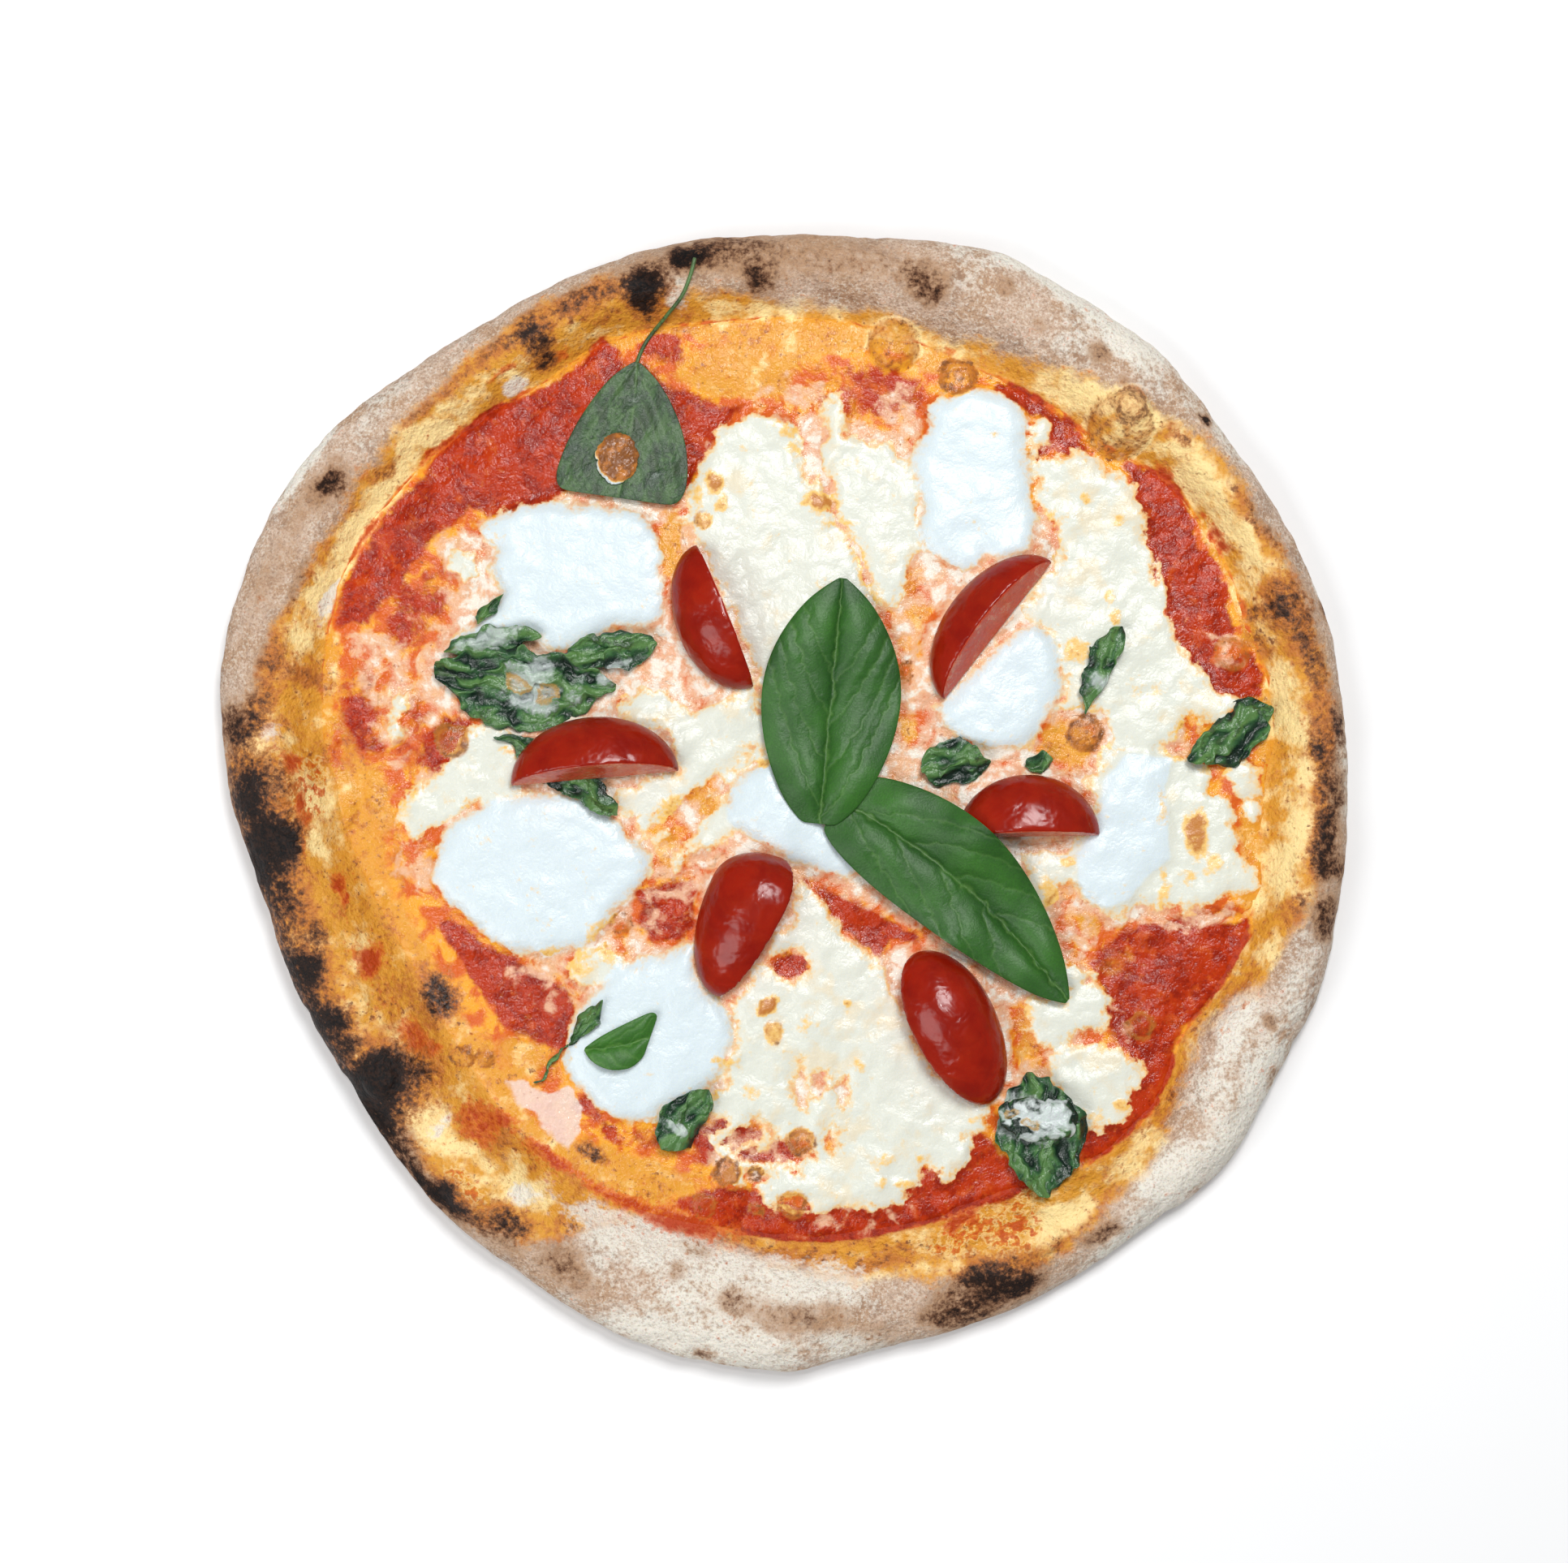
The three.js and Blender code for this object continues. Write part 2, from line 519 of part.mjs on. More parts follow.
for (const [name, spec] of Object.entries(TOMATOES)) {
  const [x, y] = spec.at;
  const leafTop = highestUnder(wedgeFootprint(spec), onLeaf);
  const z = Math.max(leafTop + GAP, saucedTop + GAP + SINK);
  const finish = { colour: COLOURS.tomato, roughness: 0.15 };
  lay(`tomato_${name}`, wedge(spec), finish, { x, y, z, turn: spec.turn * DEG });
  for (const cheese of pizza.children.filter(isCheese)) {
    const { x: cx, y: cy, z: cz } = cheese.position;
    const cut = pocket(spec, z).translate(-cx, -cy, -cz);
    cheese.geometry = toGeometry(toSolid(cheese.geometry).subtract(cut));
  }
}

// ---------------------------------------------------------------- fresh basil, laid last

const freshFinish = { colour: COLOURS.fresh_basil, roughness: 0.45 };
for (const [name, spec] of Object.entries(FRESH_LEAVES)) {
  layLeaf(`fresh_basil_${name}`, spec, spec.wide > 15 ? [14, 6] : [8, 6], freshFinish);
}

export default pizza;
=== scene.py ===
import math
from contextlib import contextmanager

import bpy
import numpy as np
from bpy.props import FloatProperty, FloatVectorProperty, PointerProperty
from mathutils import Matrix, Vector


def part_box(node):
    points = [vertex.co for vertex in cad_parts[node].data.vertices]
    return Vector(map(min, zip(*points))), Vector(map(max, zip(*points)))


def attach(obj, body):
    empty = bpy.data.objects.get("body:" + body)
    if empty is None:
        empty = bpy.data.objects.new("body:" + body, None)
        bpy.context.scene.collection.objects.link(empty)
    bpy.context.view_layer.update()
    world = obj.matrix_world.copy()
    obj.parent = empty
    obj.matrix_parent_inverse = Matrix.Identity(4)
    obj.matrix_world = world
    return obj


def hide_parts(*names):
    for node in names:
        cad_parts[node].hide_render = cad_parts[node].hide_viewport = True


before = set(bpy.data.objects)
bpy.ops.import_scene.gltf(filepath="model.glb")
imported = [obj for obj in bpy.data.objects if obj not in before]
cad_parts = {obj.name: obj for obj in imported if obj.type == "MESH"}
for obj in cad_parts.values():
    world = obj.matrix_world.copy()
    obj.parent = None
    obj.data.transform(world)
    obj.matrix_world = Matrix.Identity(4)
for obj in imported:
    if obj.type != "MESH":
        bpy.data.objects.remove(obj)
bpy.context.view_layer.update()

bl_info = {
    "name": "Margherita pizza",
    "version": (1, 0, 0),
    "blender": (4, 5, 0),
    "location": "View3D > Sidebar > Pizza",
    "description": "Dresses the margherita pizza's solids as baked dough, sauce, cheese, tomato and basil",
    "category": "Add Mesh",
}

MM = 0.001


# ---------------------------------------------------------------- sizes and colours

def linear(code):
    """A colour written as on the web, as the linear numbers that shaders take."""
    parts = [int(code[i:i + 2], 16) / 255 for i in (0, 2, 4)]
    return tuple(c / 12.92 if c <= 0.04045 else ((c + 0.055) / 1.055) ** 2.4 for c in parts)


def size(name, default, description):
    return FloatProperty(
        name=name, description=description, default=default, subtype="DISTANCE", unit="LENGTH")


def colour(name, code, description):
    return FloatVectorProperty(
        name=name, description=description, default=linear(code), subtype="COLOR", size=3, min=0, max=1)


class CrustLook(bpy.types.PropertyGroup):
    lumps: size("Lumps", 1.5 * MM, "Height of the uneven swellings of the rim")
    crackle: size("Crackle", 0.35 * MM, "Height of the fine crackled skin")
    dough: colour("Dough", "cbb09a", "Dry outer skin")
    pores: colour("Pores", "94745e", "Fine darker mottling of the dry skin")
    tan: colour("Tan", "b08660", "Lightly toasted dry skin")
    flour: colour("Flour", "ece7da", "Dusting of flour")
    golden: colour("Golden", "dd9a34", "Oily inner band")
    pale: colour("Pale golden", "fddf9c", "Stretched, thin skin of the inner band")
    # Amber and brown also serve as painted shade along the foot of the rim, amber too in the crease at the
    # sauce.
    amber: colour("Amber", "c07232", "Baked ridges of the inner band")
    brown: colour("Brown", "603a24", "Toasted spots")
    char: colour("Char", "0a0606", "Burnt spots")


class SauceLook(bpy.types.PropertyGroup):
    red: colour("Red", "b2320a", "Tomato sauce")
    deep: colour("Deep red", "8e1e06", "Thick sauce")
    orange: colour("Orange", "d4601e", "Sauce thinned by oil")
    oil: colour("Oil", "efa42c", "Golden oil")
    milk: colour("Milk", "e2b492", "Thin film of melted cheese on the sauce")
    pool: colour("Pool", "e6ccbe", "Clouded cheese water")


class CheeseLook(bpy.types.PropertyGroup):
    thick: size("Thickness", 1.5 * MM, "Height of the fresh slices above the melted cheese")
    melted: size("Melted thickness", 1.3 * MM, "Height of the melted cheese above the sauce")
    fresh: colour("Fresh", "d4e0e4", "Slices that kept their shape")
    cream: colour("Cream", "dadcd0", "Cheese that melted")
    butter: colour("Butter", "f0c05c", "Butterfat stains")
    toast: colour("Toast", "b8702c", "Toasted blisters")
    stain: colour("Stain", "e0a070", "Sauce showing at a thin edge")


class TomatoLook(bpy.types.PropertyGroup):
    skin: colour("Skin", "961b06", "Ripe skin")
    shade: colour("Shade", "7c0e04", "Darker patches of skin")
    light: colour("Light", "a82c0c", "Thinner, lighter skin")
    flesh: colour("Flesh", "cf4e30", "Cut face")
    pith: colour("Pith", "e0a080", "Pale streaks of the cut face")


class BasilLook(bpy.types.PropertyGroup):
    fresh: colour("Fresh", "1f4a17", "Fresh leaf")
    # light is also painted as highlight where the large fresh leaves are raised.
    light: colour("Light", "427a2a", "Young parts of a fresh leaf")
    vein: colour("Vein", "86b060", "Midrib and veins")
    baked: colour("Baked", "37643a", "Wilted leaf")
    # On the crumpled baked leaves pale marks the ridges and dark the folds by their height: painted highlight
    # and painted shade.
    pale: colour("Pale", "5f8548", "Ridges of a wilted leaf")
    dark: colour("Dark", "10241a", "Folds of a wilted leaf")
    dull: colour("Dull", "394e2e", "Dried leaf")
    film: colour("Film", "d5dedc", "Melted cheese on the leaves")
    blister: colour("Blister", "b08a44", "Dried bubbles of that cheese")


class StageLook(bpy.types.PropertyGroup):
    floor: colour("Floor", "f4f4f4", "Plain floor")
    key_size: size("Key light size", 0.4, "Side of the main soft light")


# ---------------------------------------------------------------- places, in millimetres

# The outer edge, the foot of the rim and the outer limit of its oily golden band: a radius every 10 degrees.
EDGE_RADII = (
    156, 157, 159, 159, 159.5, 163, 163, 164.5, 160, 158.5, 159, 159,
    158, 159.5, 164, 165, 163.5, 160, 154, 147.5, 146, 144, 145.5, 148.5,
    150, 154, 156.5, 157.5, 153.5, 153.5, 154, 154, 158, 155.5, 157, 156,
)
FOOT_RADII = (
    131, 136.5, 137, 138.5, 137.5, 132, 131.5, 132, 134, 134.5, 135, 137,
    134.5, 135.5, 137.5, 138, 135, 130, 124, 118, 113, 112, 113, 116,
    118, 118.5, 117.5, 118.5, 119.5, 120.5, 122, 128.5, 130.5, 126, 130.5, 132.5,
)
GOLDEN_RADII = (
    150, 153, 154, 153, 153.5, 148.5, 140, 137.5, 138.5, 139.5, 144, 153.5,
    153, 149.5, 148.5, 147, 149, 152.5, 153, 147, 147, 146, 139, 144,
    139, 121.5, 121.5, 128, 133, 139, 146, 141.5, 138.5, 131, 140.5, 146,
)

# Burns on the rim: angle, radius, half length along the rim, half width, and depth from 0 to 1.
BURNS = (
    (93, 146, 3.8, 3.8, 0.54), (100.3, 153, 5.5, 3.6, 0.95), (105.3, 147, 5.6, 6.6, 1),
    (96.5, 154, 10, 5, 0.42), (112, 150.5, 11, 3.5, 0.5), (118.3, 147, 4, 5.4, 0.7),
    (118.8, 140, 3, 2, 0.65), (122, 149.5, 8, 2.2, 0.4), (131, 148, 16, 1.6, 0.34), (141, 145, 4, 2, 0.36),
    (156, 148, 12, 1.8, 0.34), (144.5, 154, 4.2, 3.2, 0.56), (145, 154, 9, 5, 0.28), (169, 148, 6, 4, 0.42),
    (164, 148, 6, 3, 0.35), (165, 139, 2.5, 6.5, 0.36), (74.8, 147, 4.6, 3.8, 0.48), (75.7, 151, 6, 4, 0.3),
    (67.2, 154.5, 3.4, 2.6, 0.34), (62.5, 149, 3, 2.4, 0.25), (55.4, 151.5, 3.8, 3.6, 0.44),
    (51.6, 149, 2.4, 2, 0.3), (42.6, 157.6, 1.5, 0.9, 0.8), (42.6, 157.6, 3.6, 2, 0.4),
    (43.5, 148.5, 5, 1.8, 0.38), (32, 151, 7, 2, 0.36), (29, 153, 6, 2, 0.32), (21, 149.5, 11, 6, 0.42),
    (22, 146.5, 3.8, 4.4, 0.46), (22.2, 139.5, 3.2, 2.6, 0.4), (19.6, 158.4, 3, 1.4, 0.5),
    (15, 151, 8, 3.5, 0.36), (8.2, 155, 5.6, 2.2, 0.52), (6, 146.6, 4, 3, 0.48), (1, 150, 7, 3.4, 0.36),
    (357, 149, 4.4, 2.8, 0.58), (353.7, 150, 4, 3.8, 0.6), (354.7, 146.6, 6, 2.6, 0.42),
    (353.3, 156, 5, 3, 0.35), (4, 150, 24, 5, 0.36), (348, 152, 5.4, 3.4, 0.58),
    (348.6, 144, 4.4, 2.6, 0.42), (335.8, 146, 2.4, 2.2, 0.4), (334.8, 157.4, 3.6, 1.3, 0.6),
    (331, 154.4, 4.2, 1.7, 0.3), (325, 150, 5, 3, 0.16), (306.4, 146.6, 6, 2.8, 0.45),
    (299.5, 154.6, 0.9, 0.8, 0.6), (294.5, 145.4, 7.5, 4.4, 0.62), (292.4, 140, 4.8, 3, 0.66),
    (296.5, 148, 4, 2.2, 0.6), (289.8, 149, 9, 5, 0.48), (287, 146, 6.4, 3.4, 0.38),
    (294, 142, 15, 7, 0.34), (280, 149, 6, 4.4, 0.24), (264.2, 137, 5, 4, 0.38), (269.4, 141, 8, 4.4, 0.26),
    (261.4, 152.6, 2.6, 2, 0.48), (274, 142, 9, 5.4, 0.28), (270, 151, 3, 2, 0.2),
    (246.3, 143, 6, 4.6, 0.3), (257, 132, 3, 2.8, 0.32), (258, 125, 5.4, 2.2, 0.28),
    (243.4, 139, 6, 6, 0.34), (236.3, 137.6, 5.8, 3.8, 0.62), (228.7, 143, 3.8, 3.4, 0.92),
    (229.7, 145, 6.6, 2.4, 0.65), (225.4, 145, 4, 1.8, 0.55), (233.5, 143, 5.4, 1.8, 0.3),
    (220, 141, 9, 5, 0.36), (214, 137, 7, 6.2, 1), (213.5, 131, 4.8, 4.4, 0.92),
    (216.4, 142, 7.4, 3.4, 0.8), (212.6, 143, 6.4, 2.4, 0.75), (216, 131, 10, 8.5, 0.38),
    (215.5, 124, 4, 3.4, 0.46), (208.8, 138, 3.4, 3.4, 0.6), (205.3, 138.2, 3.4, 3.4, 0.9),
    (205, 140, 8, 5, 0.5), (198.9, 139, 5, 4.2, 0.9), (195, 132.8, 3.6, 2.7, 0.5),
    (190, 141.5, 11, 5, 0.56), (201, 144, 14, 3.6, 0.5), (186, 146.6, 6.4, 3.2, 0.85),
    (183.6, 143, 7.4, 6.4, 0.9), (184.2, 138, 5.4, 4.6, 0.9), (179, 148, 6.4, 4.4, 0.8),
    (177, 142, 5.4, 6, 0.42), (171.8, 154, 4.8, 4.4, 0.58), (171, 148, 3.4, 3.4, 0.36),
    (208.8, 110.6, 5.4, 4.4, 0.62), (208, 110, 8, 6, 0.3), (240.6, 110.6, 3.6, 2, 0.62),
    (86, 152, 26, 8, 0.3), (155, 156, 24, 5, 0.2), (235, 143, 12, 4, 0.3), (196, 136, 24, 3, 0.2),
    (206, 145, 42, 4.6, 0.36), (186, 148, 18, 5, 0.36), (222, 145, 18, 3.6, 0.42), (176, 152, 9, 4, 0.4),
)

# Flour on the rim: angle, radius, half length, half width, amount.
FLOUR = (
    (59, 163.5, 28, 3.6, 1), (59, 163.5, 24, 4.2, 1), (325, 152, 30, 5, 0.7), (315, 149, 14, 6, 0.6),
    (53, 159, 10, 5, 0.9), (5, 155, 15, 2.6, 0.7), (309, 152.5, 12, 3, 0.9), (60, 150, 20, 7, 0.2),
    (145, 163.6, 13, 2.2, 1), (258, 151, 20, 4.6, 1), (267, 151, 12, 6, 1), (277, 151, 12, 4, 0.6),
    (270, 131, 26, 6, 0.85), (250, 127, 22, 6, 1), (260, 141, 26, 5, 0.4), (322, 155, 10, 2.6, 1),
    (333, 138, 13, 3.6, 0.95), (327, 148, 18, 7, 0.5), (315, 146, 14, 6, 0.5), (340, 150, 12, 5, 0.45),
    (155.5, 138.5, 6, 2, 1), (123, 137.8, 3.8, 2.8, 1), (235.6, 129.2, 4.2, 3.2, 0.9),
    (222.6, 131, 3, 6.4, 0.7), (102, 144, 3.2, 4.4, 0.8), (88, 137, 10, 3, 0.5), (20, 160, 22, 1.8, 0.6),
    (345, 157, 12, 2.4, 0.6), (135, 156, 34, 4, 0.25), (172, 144, 4, 3, 0.7), (303, 151, 14, 4, 0.3),
    (40, 158, 16, 2.4, 0.5),
)

# Well baked stretches of the golden band, some of them along the foot of the rim, where they are painted
# shade, and pale stretches: angle, radius, half length, half width, amount.
BAKED_AND_FOOT_SHADE = (
    (112, 149, 14, 4.6, 0.85), (130, 148, 18, 2.4, 0.7), (150, 146.5, 16, 2, 0.5), (165, 148, 11, 4, 0.7),
    (103, 140, 7, 3.4, 0.4), (44, 148.5, 7, 2.8, 0.6), (33, 151, 11, 3.4, 0.6), (21, 148, 13, 8, 0.85),
    (8, 152, 14, 6, 0.9), (358, 149, 12, 6, 0.8), (347, 143, 9, 3.4, 0.6), (338, 134.6, 13, 2.4, 0.6),
    (322, 133.5, 16, 2.4, 0.6), (330, 128.5, 9, 2, 0.6), (308, 141, 8, 3, 0.5), (300, 143, 11, 4, 0.7),
    (292, 138, 8, 6, 0.8), (282, 129, 15, 3, 0.8), (270, 125, 15, 2.6, 0.9), (260, 121, 13, 2.4, 0.9),
    (245, 128, 6, 8, 0.5), (243, 138, 6, 8, 0.9), (236, 139, 8, 5, 0.7), (230, 143, 9, 4, 0.7),
    (228, 122, 10, 5, 0.7), (240, 118, 8, 3, 0.7), (214, 128, 12, 10, 0.7), (205, 136, 13, 6, 0.6),
    (193, 137, 13, 5, 0.6), (178, 141, 8, 9, 0.7), (171, 140, 5, 6, 0.5), (165, 139, 3.4, 7.4, 0.9),
    (208, 112, 10, 8, 0.5), (172, 122, 7, 7, 0.5), (190, 122, 24, 6, 0.2), (19, 138, 6, 4, 0.6),
    (103, 132, 6, 4, 0.6),
)
PALE = (
    (150, 141, 20, 4.6, 1), (135, 143, 18, 3.4, 1), (122, 140.5, 8, 2.6, 0.5), (56, 139, 13, 4, 0.9),
    (68, 134, 11, 3, 0.7), (40, 145, 11, 6, 0.9), (30, 144, 11, 5, 0.8), (48.5, 141, 9, 9, 0.8),
    (12, 141, 13, 4, 0.8), (0, 141, 13, 5, 0.8), (352, 136, 9, 8, 0.9), (342, 139, 9, 3, 0.7),
    (330, 132.5, 8, 2.4, 0.6), (315, 137, 11, 4, 0.9), (304, 137, 9, 5, 1), (288, 134, 6, 3, 0.6),
    (280, 133, 9, 2.4, 0.5), (222, 131, 5, 8, 0.9), (235, 129, 7, 5, 0.8), (228, 131, 12, 5, 0.5),
    (173, 146, 6, 5, 0.8), (160, 141, 9, 4, 0.8), (90, 137, 16, 2.6, 0.7), (210, 127, 4, 6, 0.6),
    (181, 130, 8, 5, 0.7), (198, 128, 10, 4, 0.35), (75, 137, 8, 8, 0.4),
)

# Sauce that broke through the rim: angle, radius, half length, half width, amount.
RED_FLECKS = (
    (180.1, 133.7, 3.2, 1.4, 1), (182.3, 132.8, 1.3, 1.6, 1), (175.2, 137, 2.4, 1.8, 1),
    (184.5, 132.8, 2.6, 0.8, 0.8), (200.5, 122.6, 4.4, 3.6, 1), (190.6, 125.6, 3, 1.6, 0.9),
    (192.5, 125, 1.3, 1.1, 0.9), (212, 121.4, 4.4, 3, 0.75), (214.5, 118.5, 2.2, 2.2, 0.6),
    (225.9, 122.6, 5, 3.6, 0.65), (227.8, 118.4, 4, 1.6, 0.6), (236.3, 118, 8, 1.8, 0.8),
    (248, 118.6, 12, 1.8, 0.8), (257, 119.6, 10, 2.6, 1), (30.6, 141.5, 1.8, 1, 0.9),
    (32.5, 141, 1.6, 1.6, 0.9), (34.5, 141, 1.6, 0.8, 0.7), (41, 139.5, 3, 1, 0.8),
    (147, 138.6, 7, 0.9, 0.8), (134, 139, 9, 0.8, 0.8), (123, 143, 5, 0.9, 0.6), (117, 139, 3, 1.6, 0.7),
    (76, 127, 5, 2, 0.5), (70.5, 134, 2.6, 1.6, 0.6), (293, 125, 6, 1.4, 0.8), (172.5, 126, 5, 2, 0.6),
)

# Skin torn into a lace with sauce behind it, in the same numbers.
LACE = (
    (179, 131.5, 9, 4, 1), (177, 138, 6, 6, 0.7), (298, 134, 8, 5, 1), (292, 128, 12, 4, 0.9),
    (230, 137, 8, 4, 0.8), (236, 139, 5, 3, 0.5), (32, 141, 7, 2.4, 0.6), (214, 126, 7, 4, 0.5),
    (120, 142, 7, 3, 0.4), (163, 142, 8, 5, 0.3), (303, 128, 8, 3, 0.5),
)

# Thin-skinned bubbles: x, y, radius, height, and how brown they are.
BUBBLES = (
    (92, 104.8, 8.9, 3.6, 0.5), (90.4, 102.6, 4.2, 0.8, 0.6), (94.8, 110, 4.8, 1.6, 0.9),
    (29.8, 127.8, 7.2, 3.4, 0.45), (-90, -70, 3.4, 1, 0.85), (-83.6, -70.6, 2.4, 0.8, 0.8),
    (-113.5, -26.5, 2.8, 0.7, 0.35), (-23, -111.5, 3.6, 0.9, 0.5), (-16.5, -102, 4, 1, 0.85),
    (98, -61.5, 3.8, 1.1, 0.6), (123.5, 42, 4.8, 1.4, 0.45), (-93, 18, 4.6, 0.9, 0.8),
    (47.6, 118.9, 5.2, 1.4, 0.85), (4, -93.5, 3.8, 1, 0.85), (1.5, -111, 4, 0.9, 0.6),
    (-8.5, -102, 2.4, 0.7, 0.85), (-8.5, -112, 2, 0.6, 0.6), (83, 20, 5.2, 1, 0.95),
    (-5.5, -55.8, 2.3, 0.6, 0.7), (-3.6, -63.3, 2.9, 0.7, 0.55), (33, 37, 2.6, 0.7, 0.7),
    (-118, 36, 2.4, 0.6, 0.3), (-104, 27, 2.2, 0.6, 0.4), (-46, -33, 3.2, 0.7, 0.6),
    (-23, 79, 2.6, 0.6, 0.6), (-131, 1, 12, 1.8, 0), (-132.5, 35, 7, 1.2, 0.2), (-103, -64, 6, 1, 0.1),
    (-128, -34.5, 3.2, 0.8, 0.2), (-119.5, -35, 2, 0.6, 0.3), (-115, 0.2, 2, 0.5, 0.4),
    (-117.5, -28, 1.6, 0.5, 0.5), (-112, -76, 5, 1, 0.1), (133, 8, 5, 1, 0.2), (122, -62, 5, 0.8, 0),
    (70, -118, 6, 1.2, 0), (-74.5, 33.5, 2.8, 0.9, 0.8), (-66.5, 30.5, 2.6, 0.9, 0.7),
    (67.5, -88, 2.2, 0.6, 0.7), (62, -85, 1.7, 0.5, 0.6), (-139, 8, 8, 1.4, 0), (-128, 20, 5, 1, 0),
    (-120, -55, 6, 1.2, 0), (-75, -100, 6, 1.2, 0), (128, 52, 6, 1.2, 0.1),
)

# Toasted and butter-yellow spots in the cheese: x, y, half width, half height, turn, depth.
TOAST = (
    (-20, 91, 2.6, 3.2, 0, 0.75), (-18.5, 83.5, 2.2, 2.8, 0, 0.65), (-24, 83, 2, 5, 0, 0.3),
    (10, 83.5, 4.2, 3, 0, 0.9), (6.5, 84, 2.6, 2, 0, 0.6), (0, 105, 5.5, 2, -15, 0.4),
    (2, 98.5, 2, 2.4, 0, 0.35), (-13, 99, 1.5, 1.4, 0, 0.3), (15, 78.5, 4, 2, 0, 0.45),
    (19, 72, 1.8, 5, 30, 0.36), (22, 64, 1.6, 6, 12, 0.42), (24.5, 57, 1.6, 4, 10, 0.45),
    (82.5, 84.5, 2.2, 1.6, 0, 0.45), (93, 79, 2, 1.6, 0, 0.35), (80.5, 43, 3, 3.6, 0, 0.5),
    (92, 52.5, 1.9, 2.6, 0, 0.55), (90, 58, 1.6, 1.6, 0, 0.4), (101, 32, 5, 2.4, 0, 0.3),
    (97, 30, 3, 2, 0, 0.3), (73, 77, 2.6, 5, 10, 0.6), (72.5, 71, 2.2, 3, 0, 0.65),
    (83, 20.5, 5.6, 5.2, 0, 1), (76, 15, 4, 4, 0, 0.65), (113.5, -8, 3.4, 6.6, -8, 0.85),
    (111, -20, 2.2, 2, 0, 0.5), (105, -19, 1.4, 3, 0, 0.45), (105, -25, 2.2, 4, 0, 0.4),
    (112, 20, 4, 4.5, 0, 0.5), (109, 15, 3, 2, 0, 0.7), (77, -15.5, 2.4, 2, 0, 0.5),
    (73, -25, 2.5, 6, 10, 0.45), (80, -29.5, 3, 4, 0, 0.65), (77, -37, 3, 5, 0, 0.7),
    (-5.5, -56, 2.3, 2.5, 0, 0.8), (-3.8, -63, 2.8, 2.6, 0, 0.6), (6, -61, 4.5, 3, 20, 0.35),
    (17, -55, 1.6, 1, 0, 0.5), (-17, -71, 4, 1.8, -15, 0.5), (20.5, -72.5, 2.2, 1.8, 0, 0.4),
    (-20, -80, 2, 2.4, 0, 0.5), (-10, -80, 2.2, 2, 0, 0.3), (27.5, -98.7, 2.8, 2, 0, 0.36),
    (32.5, -104.8, 2.6, 1.8, 0, 0.55), (26, -106, 1.5, 1.4, 0, 0.4), (37.5, -97.5, 1, 0.8, 0, 0.5),
    (52, -88, 2, 1.5, 0, 0.4), (-50, -38, 3.6, 6, 20, 0.55), (-66, -42.5, 6, 2.6, 0, 0.5),
    (-58, -44, 5, 4, 30, 0.4), (-32, -1, 5, 3, 30, 0.4), (-6, 12.5, 3.4, 1.2, 20, 0.45),
    (-80, 15, 1.8, 1.2, 0, 0.55), (-88, -0.5, 2.4, 0.9, 0, 0.45), (-104, 25, 1.7, 2.2, 0, 0.75),
    (-106, 2, 4, 4, 0, 0.3), (93, -83, 2.2, 1.4, 0, 0.55), (85, -86, 2.4, 2, 0, 0.3),
    (66, -57, 3, 4, 0, 0.4), (88, -67, 2.4, 1.4, 0, 0.5), (12, 60, 3, 4, 0, 0.12),
    (118, -16, 3, 4, 0, 0.35), (104, -2, 1.6, 6, 0, 0.3), (120, 10, 3, 2, 0, 0.45), (86, 14, 2, 3, 0, 0.35),
)

# Outlines, in millimetres. First the mozzarella slices that kept their shape,
FRESH = {
    "upper_left": (
        (-86, 76.5), (-80, 80.5), (-74, 83.5), (-66, 84.5), (-57, 84), (-49, 82.5), (-41, 81.5),
        (-37.5, 79), (-35, 73), (-34, 64), (-33.5, 56), (-35, 49.5), (-41, 49), (-49, 48.5), (-55, 45.5),
        (-62, 43.5), (-67, 43.5), (-71, 47), (-79, 47), (-86, 45), (-92, 42.5), (-94, 45), (-87, 50.5),
        (-81, 56), (-80, 61), (-83, 66), (-81, 71), (-84, 74),
    ),
    "lower_left": (
        (-88, -1), (-79, 2), (-70, 3.5), (-62, 3), (-55, 1.5), (-50, -2), (-46, -4.5), (-43, -9),
        (-39, -13), (-38, -17.5), (-39.5, -22), (-45, -27), (-50, -32), (-53, -38), (-59, -40.5),
        (-67, -41), (-75, -41), (-82, -38), (-88, -33), (-94, -27), (-98.5, -22), (-98, -15), (-96, -9),
        (-93, -4),
    ),
    "upper_right": (
        (36, 76), (38, 71), (43, 67.5), (49, 64.5), (53, 66.5), (55, 69), (60, 68), (66, 70), (68.5, 75),
        (69.5, 80), (68, 85), (68.5, 90), (67, 95), (66.5, 101), (68, 106), (66, 110), (61, 114), (55, 116),
        (49, 115.5), (43, 112.5), (38.5, 110.5), (39, 105), (36, 100), (34, 96), (36, 90), (37.5, 83),
    ),
    "middle_right": (
        (44, 30), (50, 36), (57, 43), (64, 49), (69, 51), (74, 46), (76, 39), (77, 32), (74, 26), (71, 21),
        (67, 17), (60, 15.5), (53, 16), (47, 19), (43, 23), (41, 27),
    ),
    "right": (
        (88, 8), (94, 14), (101, 14), (107, 13), (105, 5), (106, -3), (107, -10), (106, -15), (101, -20),
        (95, -26), (89, -29), (84, -28), (81, -22), (81, -14), (84, -8), (87, -2),
    ),
    "bottom_left": (
        (-47, -44), (-40, -42), (-32, -40), (-26, -39), (-25, -47), (-20, -54), (-15, -58), (-14, -66),
        (-17, -72), (-21, -78), (-26, -82), (-34, -85), (-39, -88), (-46, -88), (-52, -85), (-57, -80),
        (-61, -74), (-62, -68), (-60, -60), (-54, -52),
    ),
    "middle": (
        (-17, 0), (-14, 8), (-8, 11), (-3, 13), (0, 5), (10, -2), (14, -7), (20, -14), (23, -19), (16, -20),
        (8, -19), (2, -16), (-4, -12), (-10, -9), (-16, -5),
    ),
}

